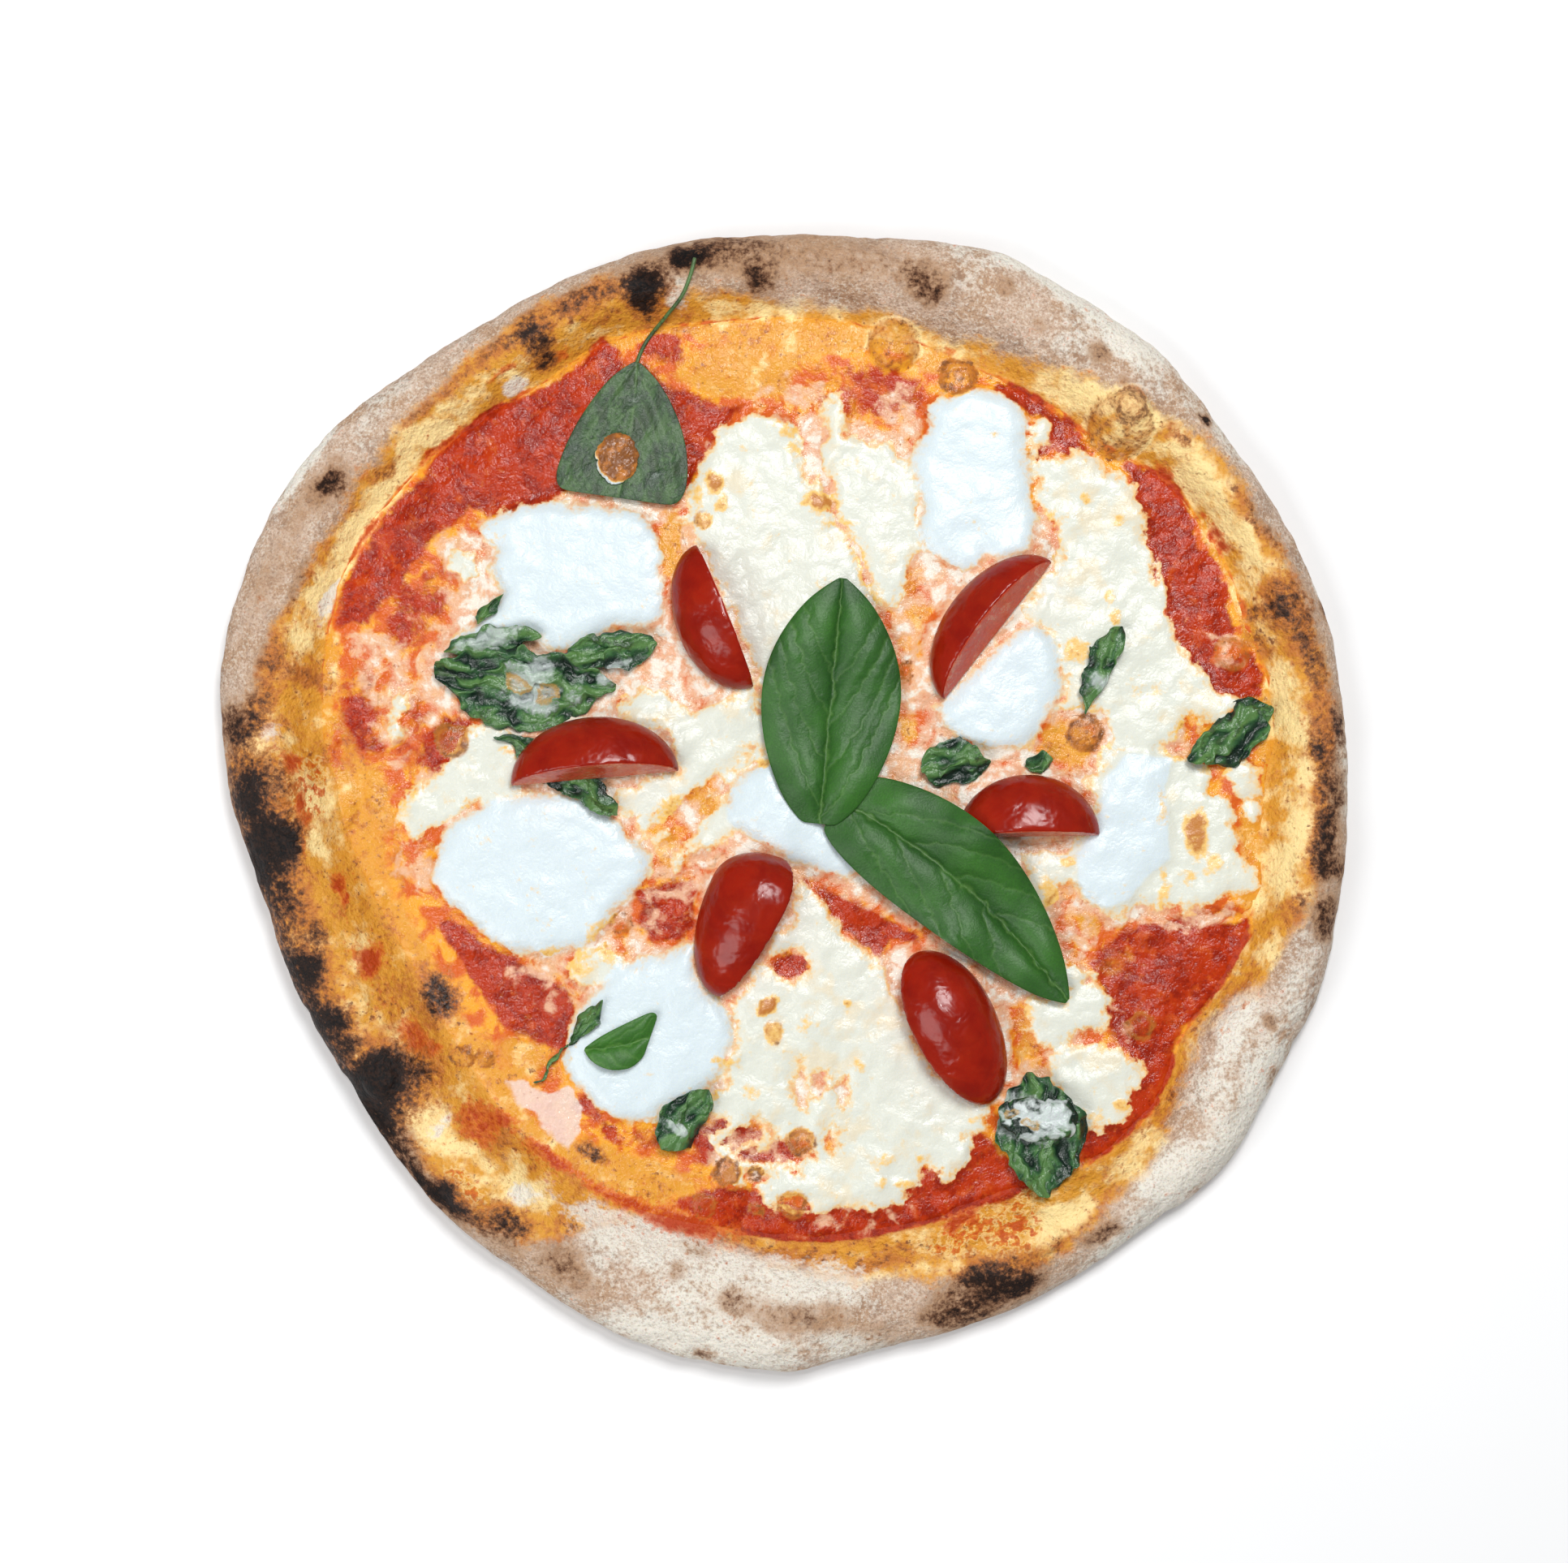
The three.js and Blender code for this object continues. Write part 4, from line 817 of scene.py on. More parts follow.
class Finish:
    """A procedural material: one Principled shader and the nodes that feed it."""

    def __init__(self, name, **constants):
        self.material = bpy.data.materials.new(name)
        self.material.use_nodes = True
        self.tree = self.material.node_tree
        self.shader = self.tree.nodes["Principled BSDF"]
        self.place = self.node("TexCoord").outputs["Object"]
        for socket, value in constants.items():
            self.shader.inputs[socket.replace("_", " ")].default_value = value

    def node(self, kind, settings=(), inputs=()):
        made = self.tree.nodes.new("ShaderNode" + kind)
        for key, value in dict(settings).items():
            setattr(made, key, value)
        for key, value in dict(inputs).items():
            self.feed(made.inputs[key], value)
        return made

    def feed(self, socket, value):
        if isinstance(value, Wire):
            self.tree.links.new(value.socket, socket)
        elif isinstance(value, bpy.types.NodeSocket):
            self.tree.links.new(value, socket)
        elif socket.type == "RGBA" and len(value) == 3:
            socket.default_value = (*value, 1)
        else:
            socket.default_value = value

    def connect(self, **links):
        for socket, value in links.items():
            self.feed(self.shader.inputs[socket.replace("_", " ")], value)

    def painted(self, name):
        return Wire(self, self.node("Attribute", {"attribute_name": name}).outputs["Fac"])

    def shifted(self, seed):
        shift = (0.37 * seed, 0.61 * seed, 0.13 * seed)
        return self.node("VectorMath", {"operation": "ADD"}, {0: self.place, 1: shift}).outputs["Vector"]

    def noise(self, spacing, seed=0, detail=3, rough_share=0.55, distortion=0):
        """Noise from 0 to 1 that changes over the given spacing in millimetres."""
        node = self.node("TexNoise", inputs={
            "Vector": self.shifted(seed), "Scale": 1 / (spacing * MM), "Detail": detail,
            "Roughness": rough_share, "Distortion": distortion})
        return Wire(self, node.outputs["Fac"])

    def cells(self, spacing, seed=0):
        """Distance from the nearest of scattered points, in shares of their spacing."""
        inputs = {"Vector": self.shifted(seed), "Scale": 1 / (spacing * MM)}
        return Wire(self, self.node("TexVoronoi", inputs=inputs).outputs["Distance"])

    def mix(self, share, first, second):
        node = self.node("Mix", {"data_type": "RGBA"}, {0: share, 6: first, 7: second})
        return node.outputs[2]

    def bump(self, height, distance, strength, below=None):
        """distance in millimetres. below is the normal of a coarser bump."""
        inputs = {"Height": height, "Distance": distance * MM, "Strength": strength}
        if below is not None:
            inputs["Normal"] = below
        return self.node("Bump", inputs=inputs).outputs["Normal"]


# ---------------------------------------------------------------- crust

RIM_START = 108  # millimetres from the middle to where the fine mesh of the rim begins


def golden_skin(finish, look):
    """The oily inner band of the rim, from pale straw through gold to toasted."""
    patch = finish.noise(9, seed=5) - 0.5
    speck = finish.noise(2.6, seed=2, detail=4, rough_share=0.65) - 0.5
    grain = finish.noise(1.1, seed=7, detail=2) - 0.5
    baked, pale = finish.painted("baked"), finish.painted("pale")
    skin = finish.mix((pale * 1.1 + patch * 3 + speck * 1.5).ramp(0.12, 0.95), look.golden, look.pale)
    # baked toasts the band, and along the foot of the rim it is painted shade, in amber here and brown below.
    skin = finish.mix((baked - pale * 0.25 + speck * 3 - patch * 2).ramp(0.1, 0.95) * 0.85, skin, look.amber)
    toasted = (baked - pale * 0.3 + speck * 4 + grain * 2 + patch).ramp(0.8, 1.35)
    skin = finish.mix(toasted * 0.65, skin, look.brown)
    skin = finish.mix((speck * 1.5 + grain - patch).ramp(0.12, 0.34) * (0.4 - pale * 0.2), skin, look.amber)
    skin = finish.mix((speck * 2 + grain * 2 - pale * 0.1).ramp(0.3, 0.6) * 0.5, skin, look.brown)
    return finish.mix((finish.painted("ring") + speck).ramp(0.2, 0.8) * 0.85, skin, look.pale)


def crust_marks(finish, skin, look, sauce, toasted, burn):
    """Sauce showing through torn skin, bubbles and burns, over any part of the dough."""
    red, lace, bubble = map(finish.painted, ("fleck", "lace", "bubble"))
    ragged = finish.noise(7, seed=1, detail=4, rough_share=0.6) - 0.5
    speck = finish.noise(1.6, seed=2, rough_share=0.6) - 0.5
    grain = finish.noise(0.7, seed=3, rough_share=0.7) - 0.5
    hole = finish.noise(2.6, seed=15, detail=2, distortion=0.3) - 0.5
    torn = lace * (1 + hole * 5 + speck * 2.5)
    skin = finish.mix(torn.ramp(0.3, 0.6) * torn.ramp(0.95, 0.6) * 0.5, skin, look.pale)
    skin = finish.mix(torn.ramp(0.8, 1.15) * 0.75, skin, sauce.orange)
    skin = finish.mix(torn.ramp(1.2, 1.6) * 0.6, skin, sauce.red)
    fleck = red + ragged * 0.9 + speck * 1.3
    skin = finish.mix(fleck.ramp(0.15, 0.5) * 0.7, skin, sauce.orange)
    skin = finish.mix(fleck.ramp(0.45, 0.9) * 0.85, skin, sauce.red)
    skin = finish.mix((bubble + ragged * 0.8 + speck).ramp(0.1, 0.6) * 0.6, skin, look.amber)
    skin = finish.mix((bubble + speck * 3).ramp(0.4, 1.0) * 0.7, skin, look.brown)
    heat = burn * (1 + (speck * 2.6 + grain * 1.6 + hole * 1.2) * (1.3 - burn)) + ragged * 0.3
    skin = finish.mix(heat.ramp(0.1, 0.4) * 0.75, skin, toasted)
    skin = finish.mix(heat.ramp(0.26, 0.64) * 0.92, skin, look.brown)
    ash = finish.mix((grain + speck).ramp(-0.12, 0.2) * 0.2, look.char, look.brown)
    return finish.mix(heat.ramp(0.55, 0.82), skin, ash), heat


def crust_finish(look, sauce):
    finish = Finish("Baked dough", Specular_IOR_Level=0.28, Subsurface_Weight=0.1,
                    Subsurface_Radius=(0.9, 0.5, 0.25), Subsurface_Scale=0.002)
    golden, flour, sauced = map(finish.painted, ("golden", "flour", "sauced"))
    ragged = finish.noise(7, seed=1, detail=4, rough_share=0.6) - 0.5
    speck = finish.noise(1.6, seed=2, rough_share=0.6) - 0.5
    grain = finish.noise(0.7, seed=3, rough_share=0.7)
    blotch = finish.noise(10, seed=10) - 0.5
    broad = finish.noise(22, seed=8, detail=4) - 0.5

    dry = finish.mix((broad - ragged * 0.9).ramp(-0.08, 0.16) * 0.6, look.dough, look.tan)
    dry = finish.mix(blotch.ramp(0, 0.18) * 0.55, dry, look.pores)
    floury = flour * 1.1 + ragged * 1.2 + speck * 1.2 + broad * 1.2 + blotch
    dry = finish.mix(floury.ramp(0.15, 0.85) * 0.92, dry, look.flour)
    dry = finish.mix((grain + speck * 0.5).ramp(0.5, 0.66) * 0.5, dry, look.flour)
    dry = finish.mix((grain + speck * 0.5).ramp(0.5, 0.34) * (0.6 - flour * 0.3), dry, look.pores)
    oily = (golden + ragged * 1.1 + speck * 0.8).ramp(0.2, 0.8)
    skin = finish.mix(oily, dry, golden_skin(finish, look))
    skin = finish.mix((flour + ragged * 1.4 + speck).ramp(0.4, 0.9) * oily * 0.85, skin, look.flour)
    # Painted shade: an amber line in the crease where the red sauce meets the rim.
    skin = finish.mix((sauced + ragged * 0.9).ramp(0.1, 0.45) * finish.painted("red") * 0.6, skin, look.amber)
    skin = finish.mix((sauced + ragged * 0.9).ramp(0.4, 0.6), skin, sauce_skin(finish, sauce, look))
    under = finish.painted("under")
    skin = finish.mix(under * (blotch + speck).ramp(-0.1, 0.2) * 0.5, skin, look.tan)
    burn = finish.painted("burn") + under * finish.noise(13, seed=17).ramp(0.5, 0.72) * 0.75
    skin, heat = crust_marks(finish, skin, look, sauce, finish.mix(oily, look.tan, look.amber), burn)

    pits = finish.cells(1.3, seed=6)
    lumps = finish.noise(4, seed=9, detail=2)
    coarse = finish.bump(lumps + speck * 0.3, 1.6, 0.6)
    relief = finish.bump(grain + speck * 0.8 + pits * 0.5, 0.6, 0.6, coarse)
    finish.connect(Base_Color=skin, Roughness=0.8 - oily * 0.38 + heat.ramp(0.5, 0.9) * 0.2, Normal=relief)
    return finish.material


class PIZZA_OT_crust(bpy.types.Operator):
    """Bakes the dough: lumps, blisters, scorched spots and flour on the rim"""
    bl_idname = "pizza.crust"
    bl_label = "Crust"

    def execute(self, context):
        look = context.scene.crust_look
        obj = dressed_copy("crust", "baked_crust")
        subdivide(obj, 2)
        self.refine_rim(obj)
        self.paint_places(obj)
        self.weigh(obj, obj.vertex_groups.new(name="rim"))
        displace(obj, "rim", 16 * MM, look.lumps)
        displace(obj, "rim", 7 * MM, 0.6 * look.lumps)
        displace(obj, "rim", 3.2 * MM, look.crackle, depth=3)
        self.raise_bubbles(obj)
        finish_mesh(obj, crust_finish(look, context.scene.sauce_look))
        tag(obj, "crust", "crust")
        return {"FINISHED"}

    def refine_rim(self, obj):
        """Splits the faces of the rim that can be seen once more."""
        middles = [face.center for face in obj.data.polygons]
        seen = [middle.xy.length / MM > RIM_START and middle.z > 1.5 * MM for middle in middles]
        select_only(obj, "polygons", seen)
        bpy.ops.object.mode_set(mode="EDIT")
        bpy.ops.mesh.select_mode(type="FACE")
        bpy.ops.mesh.subdivide(number_cuts=1)
        bpy.ops.mesh.select_mode(type="VERT")
        bpy.ops.object.mode_set(mode="OBJECT")

    def rim_places(self, obj):
        """Angle and radius of each vertex. Below the belly the radius runs on past the edge."""
        x, y, z = corners(obj)
        angle = np.arctan2(y, x)
        radius = np.hypot(x, y)
        edge = round_curve(EDGE_RADII, angle)
        below = smoothstep(7, 5, z) * (radius > (edge + round_curve(FOOT_RADII, angle)) / 2)
        return angle, radius + below * (2 * (edge - radius) + 6 - z)

    def paint_places(self, obj):
        angle, radius = self.rim_places(obj)
        x, y, z = corners(obj)
        above = smoothstep(0.3, 2.5, z)
        wander = 1.6 * rough(x, y, 17, 21)
        reach = round_curve(FOOT_RADII, angle) - radius
        fields = {**rim_fields(x, y, angle, radius), **sauce_fields(x, y)}
        fields["golden"] = smoothstep(5, -5, radius - round_curve(GOLDEN_RADII, angle) + wander)
        fields["sauced"] = smoothstep(-6, 1, reach - 1.5 + 2.5 * fields["red"])
        for name, values in fields.items():
            paint(obj, name, values * above)
        paint(obj, "under", 1 - above)

    def weigh(self, obj, group):
        """How far the relief takes hold: fully on the rim, not at its foot nor under the sauce."""
        x, y, z = corners(obj)
        weight = smoothstep(0.6, 4, z) * smoothstep(112, 124, np.hypot(x, y))
        for index in np.nonzero(weight > 0.01)[0]:
            group.add([int(index)], float(weight[index]), "REPLACE")

    def raise_bubbles(self, obj):
        x, y, z = corners(obj)
        move_corners(obj, x, y, z + (z > 5) * np.sum(domes(x, y), axis=0))


# ---------------------------------------------------------------- sauce and cheese

CELL = 0.8  # millimetres between the corners of the sauce's and the cheese's grids
HALF_GRID = 140.8  # from the middle to the sides of the square grid, a whole number of cells


class Toppings:
    """What lies where inside the rim, on one square grid of points."""

    def __init__(self):
        count = round(2 * HALF_GRID / CELL) + 1
        line = np.linspace(-HALF_GRID, HALF_GRID, count)
        self.x, self.y = np.meshgrid(line, line)
        self.angle = np.arctan2(self.y, self.x)
        self.reach = round_curve(FOOT_RADII, self.angle) - np.hypot(self.x, self.y)
        ragged = rough(self.x, self.y, 9, 43, 4)
        self.fresh = within_any(self.x, self.y, FRESH) + 0.7 * ragged
        gaps = [(1 - oval(self.x, self.y, *place)) * min(place[2:4]) for place in GAPS]
        melted = within_any(self.x, self.y, MELTED) + 0.5 + 2 * ragged
        melted = np.minimum(melted, 1.2 * ragged - np.max(gaps, axis=0))
        self.cheese = np.minimum(np.maximum(self.fresh, melted), self.reach + 2 + 2.5 * ragged)
        self.wedge = np.full_like(self.x, -99)
        for (cx, cy), turn, long, wide, *_, side in WEDGES.values():
            along, aside = turned(self.x - cx, self.y - cy, -turn)
            share = oval(along, aside, 0, wide / 2 * side, long / 2, wide / 2)
            self.wedge = np.maximum(self.wedge, (1 - share) * wide / 2)

    def sauce_top(self):
        x, y = self.x, self.y
        band = 0.7 * np.exp(-((self.reach - 11) / 6) ** 2)
        red = smoothstep(-2, 3, within_any(x, y, RED))
        pulp = (0.3 + 0.35 * red) * rough(x, y, 12, 51, 3)
        bubbles = np.max(domes(x, y), axis=0)
        dip = 1.6 * smoothstep(0.5, -4, self.reach)
        mound = 1.6 * smoothstep(-3, 0.5, self.wedge)
        return 6.1 + band + pulp + bubbles + mound - dip

    def cheese_fields(self):
        def browned(away, reach, height, brown):
            return brown * smoothstep(1.2, 0.8, away)

        toast = [painted(self.x, self.y, TOAST), *over_bubbles(self.x, self.y, browned)]
        return {
            "cheese": np.clip(0.5 + self.cheese / 10, 0, 1),
            "fresh": smoothstep(-2, 2.5, self.fresh),
            "toast": np.max(toast, axis=0),
        }

    def cheese_top(self, look):
        x, y = self.x, self.y
        sauce = self.sauce_top()
        slab = look.thick / MM * np.sqrt(smoothstep(-1, 6, self.fresh))
        melt = look.melted / MM * smoothstep(-3, 4, self.cheese)
        wrinkle = 0.5 * rough(x, y, 12, 61, 3) + 0.35 * np.abs(rough(x, y, 17, 67, 3))
        wrinkle = (wrinkle + 0.1 * rough(x, y, 5, 69, 2)) * (1 - 0.4 * smoothstep(0, 4, self.fresh))
        toast = 0.5 * painted(x, y, TOAST, 0.4)
        settled = sauce + (blurred(sauce, 1.6 / CELL) - sauce) * smoothstep(-3, 0, self.cheese)
        return settled + 0.05 + melt + slab + (wrinkle + toast) * smoothstep(-2, 3, self.cheese)


def relief_sheet(name, toppings, within, top, floor):
    """A closed slab over the part of the grid where within is positive, with that edge made smooth."""
    cells = len(toppings.x) - 1
    bpy.ops.mesh.primitive_grid_add(x_subdivisions=cells, y_subdivisions=cells, size=2 * HALF_GRID * MM)
    obj = bpy.context.active_object
    obj.name = name
    column, row, _ = np.rint((corners(obj) + HALF_GRID) / CELL).astype(int)
    keep = within > 0
    near = keep.copy()
    for step in ((0, 1), (0, -1), (1, 0), (-1, 0), (1, 1), (1, -1), (-1, 1), (-1, -1)):
        near |= np.roll(keep, step, (0, 1))
    slope_y, slope_x = np.gradient(within, CELL)
    steep = np.maximum(slope_x ** 2 + slope_y ** 2, 0.05)
    slide = np.where(keep, 0, np.clip(-within / steep, 0, 1.2 * CELL))
    x = toppings.x + slide * slope_x
    y = toppings.y + slide * slope_y
    move_corners(obj, x[row, column], y[row, column], top[row, column])
    outside = ~near[row, column]
    select_only(obj, "vertices", outside)
    bpy.ops.object.mode_set(mode="EDIT")
    bpy.ops.mesh.delete(type="VERT")
    bpy.ops.mesh.select_all(action="SELECT")
    bpy.ops.mesh.region_to_loop()
    bpy.ops.mesh.extrude_edges_move()
    bpy.ops.object.mode_set(mode="OBJECT")
    kept_row, kept_column = row[~outside], column[~outside]
    x, y, z = corners(obj)
    z[len(kept_row):] = floor
    move_corners(obj, x, y, z)
    bpy.ops.object.mode_set(mode="EDIT")
    bpy.ops.mesh.fill(use_beauty=False)
    bpy.ops.mesh.select_all(action="SELECT")
    bpy.ops.mesh.normals_make_consistent(inside=False)
    bpy.ops.object.mode_set(mode="OBJECT")
    return obj, kept_row, kept_column


def paint_grid(obj, fields, row, column):
    """Paints grid values on the sheet's top, and 0 on its hidden underside."""
    for name, values in fields.items():
        full = np.zeros(len(obj.data.vertices))
        full[:len(row)] = values[row, column]
        paint(obj, name, full)


def bubble_skin(x, y):
    """How brown the bubbles are at each point, darkest round their feet."""
    def browned(away, reach, height, brown):
        return brown * smoothstep(1.2, 0.9, away) * (0.45 + 0.55 * smoothstep(0.5, 0.95, away))

    return np.max(over_bubbles(*bent(x, y, 1, 37), browned), axis=0)


def bubble_rims(x, y):
    """A thin stretched ring round the larger bubbles."""
    def ring(away, reach, height, brown):
        return np.exp(-((away - 1.02) * reach / 0.8) ** 2) * (height > 2)

    return np.max(over_bubbles(*bent(x, y, 0.6, 39), ring), axis=0)


def sauce_fields(x, y):
    """What the sauce is like at each point, for the sauce itself and where it climbs the rim."""
    reach = round_curve(FOOT_RADII, np.arctan2(y, x)) - np.hypot(x, y)
    red = smoothstep(-3.5, 3.5, within_any(x, y, RED) + smoothstep(8, 0, reach))
    red = np.maximum(red, painted(x, y, BLUSH))
    oil = painted(x, y, OIL)
    middle = smoothstep(16, 32, reach)
    thin = 1.05 * middle * (1 - red) * (1 - oil)
    milk = np.maximum(0.75 * smoothstep(-4, 3, within_any(x, y, MILKY)), thin)
    pool = smoothstep(-1.5, 1.5, inside(*bent(x, y, 1, 35), POOL))
    return {"red": red, "oil": oil, "milk": milk, "pool": pool, "bubble": bubble_skin(x, y)}


def sauce_skin(finish, look, crust):
    """Sauce from deep red to orange and golden oil, under a broken milky film."""
    red, oil, milk = map(finish.painted, ("red", "oil", "milk"))
    ragged = finish.noise(8, seed=11, detail=5, rough_share=0.6) - 0.5
    pulp = finish.noise(4.2, seed=12, detail=4)
    streak = finish.noise(7, seed=14, detail=4, distortion=0.8)
    fine = finish.noise(1.2, seed=16, rough_share=0.65) - 0.5
    tomato = finish.mix((pulp + ragged * 1.2 + fine * 0.8).ramp(0.28, 0.66), look.deep, look.red)
    tomato = finish.mix((streak + pulp * 0.5).ramp(0.78, 1.0) * 0.5, tomato, look.orange)
    runny = finish.mix((streak + ragged * 0.6).ramp(0.4, 0.6), look.orange, look.oil)
    skin = finish.mix((red - oil * 0.2 + ragged * 1.8 + (pulp - 0.5) * 0.8).ramp(0.3, 0.7), runny, tomato)
    skin = finish.mix((oil - red * 0.5 + ragged * 1.2).ramp(0.3, 0.8) * 0.9, skin, golden_skin(finish, crust))
    film = milk - red * 0.35 - oil * 0.2 + (streak - 0.5) * 2.6 + (pulp - 0.5) * 2
    skin = finish.mix(film.ramp(0.25, 0.85) * 0.85, skin, look.milk)
    skin = finish.mix(film.ramp(0.85, 1.3) * 0.85, skin, crust.flour)
    pool = finish.painted("pool") + (streak - 0.5) * 1.6
    return finish.mix(pool.ramp(0.35, 0.8) * 0.85, skin, look.pool)


def topping_finish(name, looks, **constants):
    """The skin that the sauce and the cheese share, so that one runs into the other."""
    finish = Finish(name, **constants)
    golden, bubble, cheese, fresh, toast = map(
        finish.painted, ("golden", "bubble", "cheese", "fresh", "toast"))
    ragged = finish.noise(7, seed=21, detail=5, rough_share=0.6) - 0.5
    pulp = finish.noise(4.2, seed=12, detail=4)
    speck = finish.noise(1.4, seed=22)
    broad = finish.noise(13, seed=23)

    skin = sauce_skin(finish, looks.sauce_look, looks.crust_look)
    skin = finish.mix((golden + ragged * 0.9).ramp(0.4, 0.7), skin, golden_skin(finish, looks.crust_look))
    skin, _ = crust_marks(
        finish, skin, looks.crust_look, looks.sauce_look, looks.crust_look.amber, finish.painted("burn"))

    look = looks.cheese_look
    cover = cheese + ragged * (1 - fresh * 0.6) + (pulp - 0.5) * 0.5
    body = finish.mix((fresh + ragged * 0.8).ramp(0.3, 0.7), look.cream, look.fresh)
    melted = 1 - fresh
    buttery = (broad + ragged * 0.5 + (pulp - 0.5) * 0.5).ramp(0.52, 0.74)
    body = finish.mix(buttery * melted * 0.22, body, look.butter)
    border = 0.75 - cover + (speck - 0.5) * 0.5
    body = finish.mix(border.ramp(0.0, 0.28) * (0.3 + melted * 0.5), body, look.butter)
    body = finish.mix(border.ramp(0.12, 0.34) * (0.3 + melted * 0.5), body, look.stain)
    heat = toast + ragged * 1.1 + (speck - 0.5) * 0.8
    body = finish.mix(heat.ramp(0.15, 0.5) * 0.85, body, look.butter)
    body = finish.mix(heat.ramp(0.45, 0.85) * 0.9, body, look.toast)
    covered = cover.ramp(0.46, 0.56)
    skin = finish.mix(covered, skin, body)
    skin = finish.mix((bubble + ragged * 0.8).ramp(0.1, 0.8) * 0.65, skin, look.toast)
    blistered = (bubble + (pulp - 0.5) * 2 + (speck - 0.5)).ramp(0.6, 1.1)
    skin = finish.mix(blistered * 0.7, skin, looks.crust_look.brown)

    grain = finish.noise(0.9, seed=25, detail=2)
    coarse = finish.bump(pulp, 1.1, 0.42 - covered * (0.2 + fresh * 0.06))
    relief = finish.bump(speck + grain * 0.7, 0.6, 0.55 - covered * 0.3, coarse)
    wet = 0.22 + covered * 0.08 + (speck - 0.5) * 0.5 - finish.painted("pool") * 0.1
    finish.connect(Base_Color=skin, Roughness=wet, Normal=relief)
    return finish.material


TOPPINGS = {}


def toppings():
    """The grid, worked out once for the sauce and the cheese."""
    if "grid" not in TOPPINGS:
        TOPPINGS["grid"] = Toppings()
    return TOPPINGS["grid"]


class PIZZA_OT_sauce(bpy.types.Operator):
    """Spreads the tomato sauce, with its oil and milky film"""
    bl_idname = "pizza.sauce"
    bl_label = "Sauce"

    def execute(self, context):
        grid = toppings()
        x, y = grid.x, grid.y
        obj, row, column = relief_sheet(
            "tomato_sauce_spread", grid, grid.reach + 4, grid.sauce_top(), floor=4.4)
        rim = rim_fields(x, y, grid.angle, np.hypot(x, y))
        fields = {**rim, **sauce_fields(x, y), **grid.cheese_fields()}
        fields["golden"] = smoothstep(-6 - 6 * fields["oil"], 3, 1.5 - grid.reach) * (1 - fields["red"])
        paint_grid(obj, fields, row, column)
        material = topping_finish(
            "Oily tomato sauce", context.scene, Specular_IOR_Level=0.28, Subsurface_Weight=0.08,
            Subsurface_Radius=(1.0, 0.25, 0.1), Subsurface_Scale=0.0015)
        finish_mesh(obj, material)
        tag(obj, "sauce", "tomato_sauce")
        return {"FINISHED"}


class PIZZA_OT_cheese(bpy.types.Operator):
    """Melts the mozzarella slices into one another, over the sauce"""
    bl_idname = "pizza.cheese"
    bl_label = "Mozzarella"

    def execute(self, context):
        look = context.scene.cheese_look
        grid = toppings()
        obj, row, column = relief_sheet(
            "melted_mozzarella", grid, grid.cheese + 3, grid.cheese_top(look), floor=5.2)
        paint_grid(obj, {**sauce_fields(grid.x, grid.y), **grid.cheese_fields()}, row, column)
        material = topping_finish(
            "Mozzarella", context.scene, Specular_IOR_Level=0.42, Subsurface_Weight=0.2,
            Subsurface_Radius=(1.0, 0.9, 0.7), Subsurface_Scale=0.002)
        finish_mesh(obj, material)
        slices = [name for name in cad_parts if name.startswith("mozzarella") and "drop" not in name]
        tag(obj, "mozzarella", *slices)
        film = baked_leaf_finish(context.scene.basil_look)
        for node in ("mozzarella_drop_on_leaf", "mozzarella_drop_lower_right"):
            self.drop(node, material, film)
        return {"FINISHED"}

    def drop(self, node, material, film):
        """A dried, toasted drop on a leaf, or the thin torn film on another."""
        obj = dressed_copy(node, node + "_melted")
        subdivide(obj, 3)
        x, y, z = corners(obj)
        toasted = node.endswith("leaf")
        middle = 1 - oval(x, y, x.mean() + 0.6, y.mean() + 0.7, np.ptp(x) / 2, np.ptp(y) / 2)
        crumpled_x, crumpled_y = bent(x, y, 0.5 if toasted else 1.8, 71)
        move_corners(obj, crumpled_x, crumpled_y, z + 0.3 * rough(x, y, 3, 75))
        if toasted:
            paint(obj, "fresh", np.full_like(x, 0.6))
            paint(obj, "cheese", np.full_like(x, 1.0))
            paint(obj, "toast", smoothstep(-0.12, 0.08, middle) * 1.1)
            paint(obj, "bubble", smoothstep(-0.1, 0.12, middle) * 0.95)
        else:
            paint(obj, "film", 1.5 * smoothstep(-0.3, 0.7, middle + 0.7 * rough(x, y, 4, 77)))
            paint(obj, "toast", bubble_skin(x, y))
            paint(obj, "ridge", rough(x, y, 5, 79))
        finish_mesh(obj, material if toasted else film)
        tag(obj, "toasted_cheese" if toasted else "mozzarella", node)


# ---------------------------------------------------------------- tomato wedges

def tomato_finish(look):
    finish = Finish("Tomato", Roughness=0.22, Specular_IOR_Level=0.26, Coat_Weight=0.08, Coat_Roughness=0.04,
                    Subsurface_Weight=0.15, Subsurface_Radius=(1.0, 0.1, 0.03), Subsurface_Scale=0.003)
    cut = finish.painted("cut")
    mottle = finish.noise(11, seed=31)
    grain = finish.noise(0.8, seed=32)
    dents = finish.noise(6, seed=33, detail=2, distortion=0.3)
    skin = finish.mix(mottle.ramp(0.35, 0.65) * 0.7, look.skin, look.shade)
    skin = finish.mix((dents + mottle * 0.3).ramp(0.55, 0.95) * 0.35, skin, look.light)
    flesh = finish.mix(grain.ramp(0.3, 0.7) * 0.4, look.flesh, look.skin)
    flesh = finish.mix((dents + (grain - 0.5) * 0.6).ramp(0.52, 0.68) * 0.5, flesh, look.pith)
    body = finish.mix(cut.ramp(0.35, 0.65), skin, flesh)
    relief = finish.bump(dents + mottle * 0.5 + grain * 0.02, 1.4, 0.5)
    finish.connect(Base_Color=body, Normal=relief)
    return finish.material


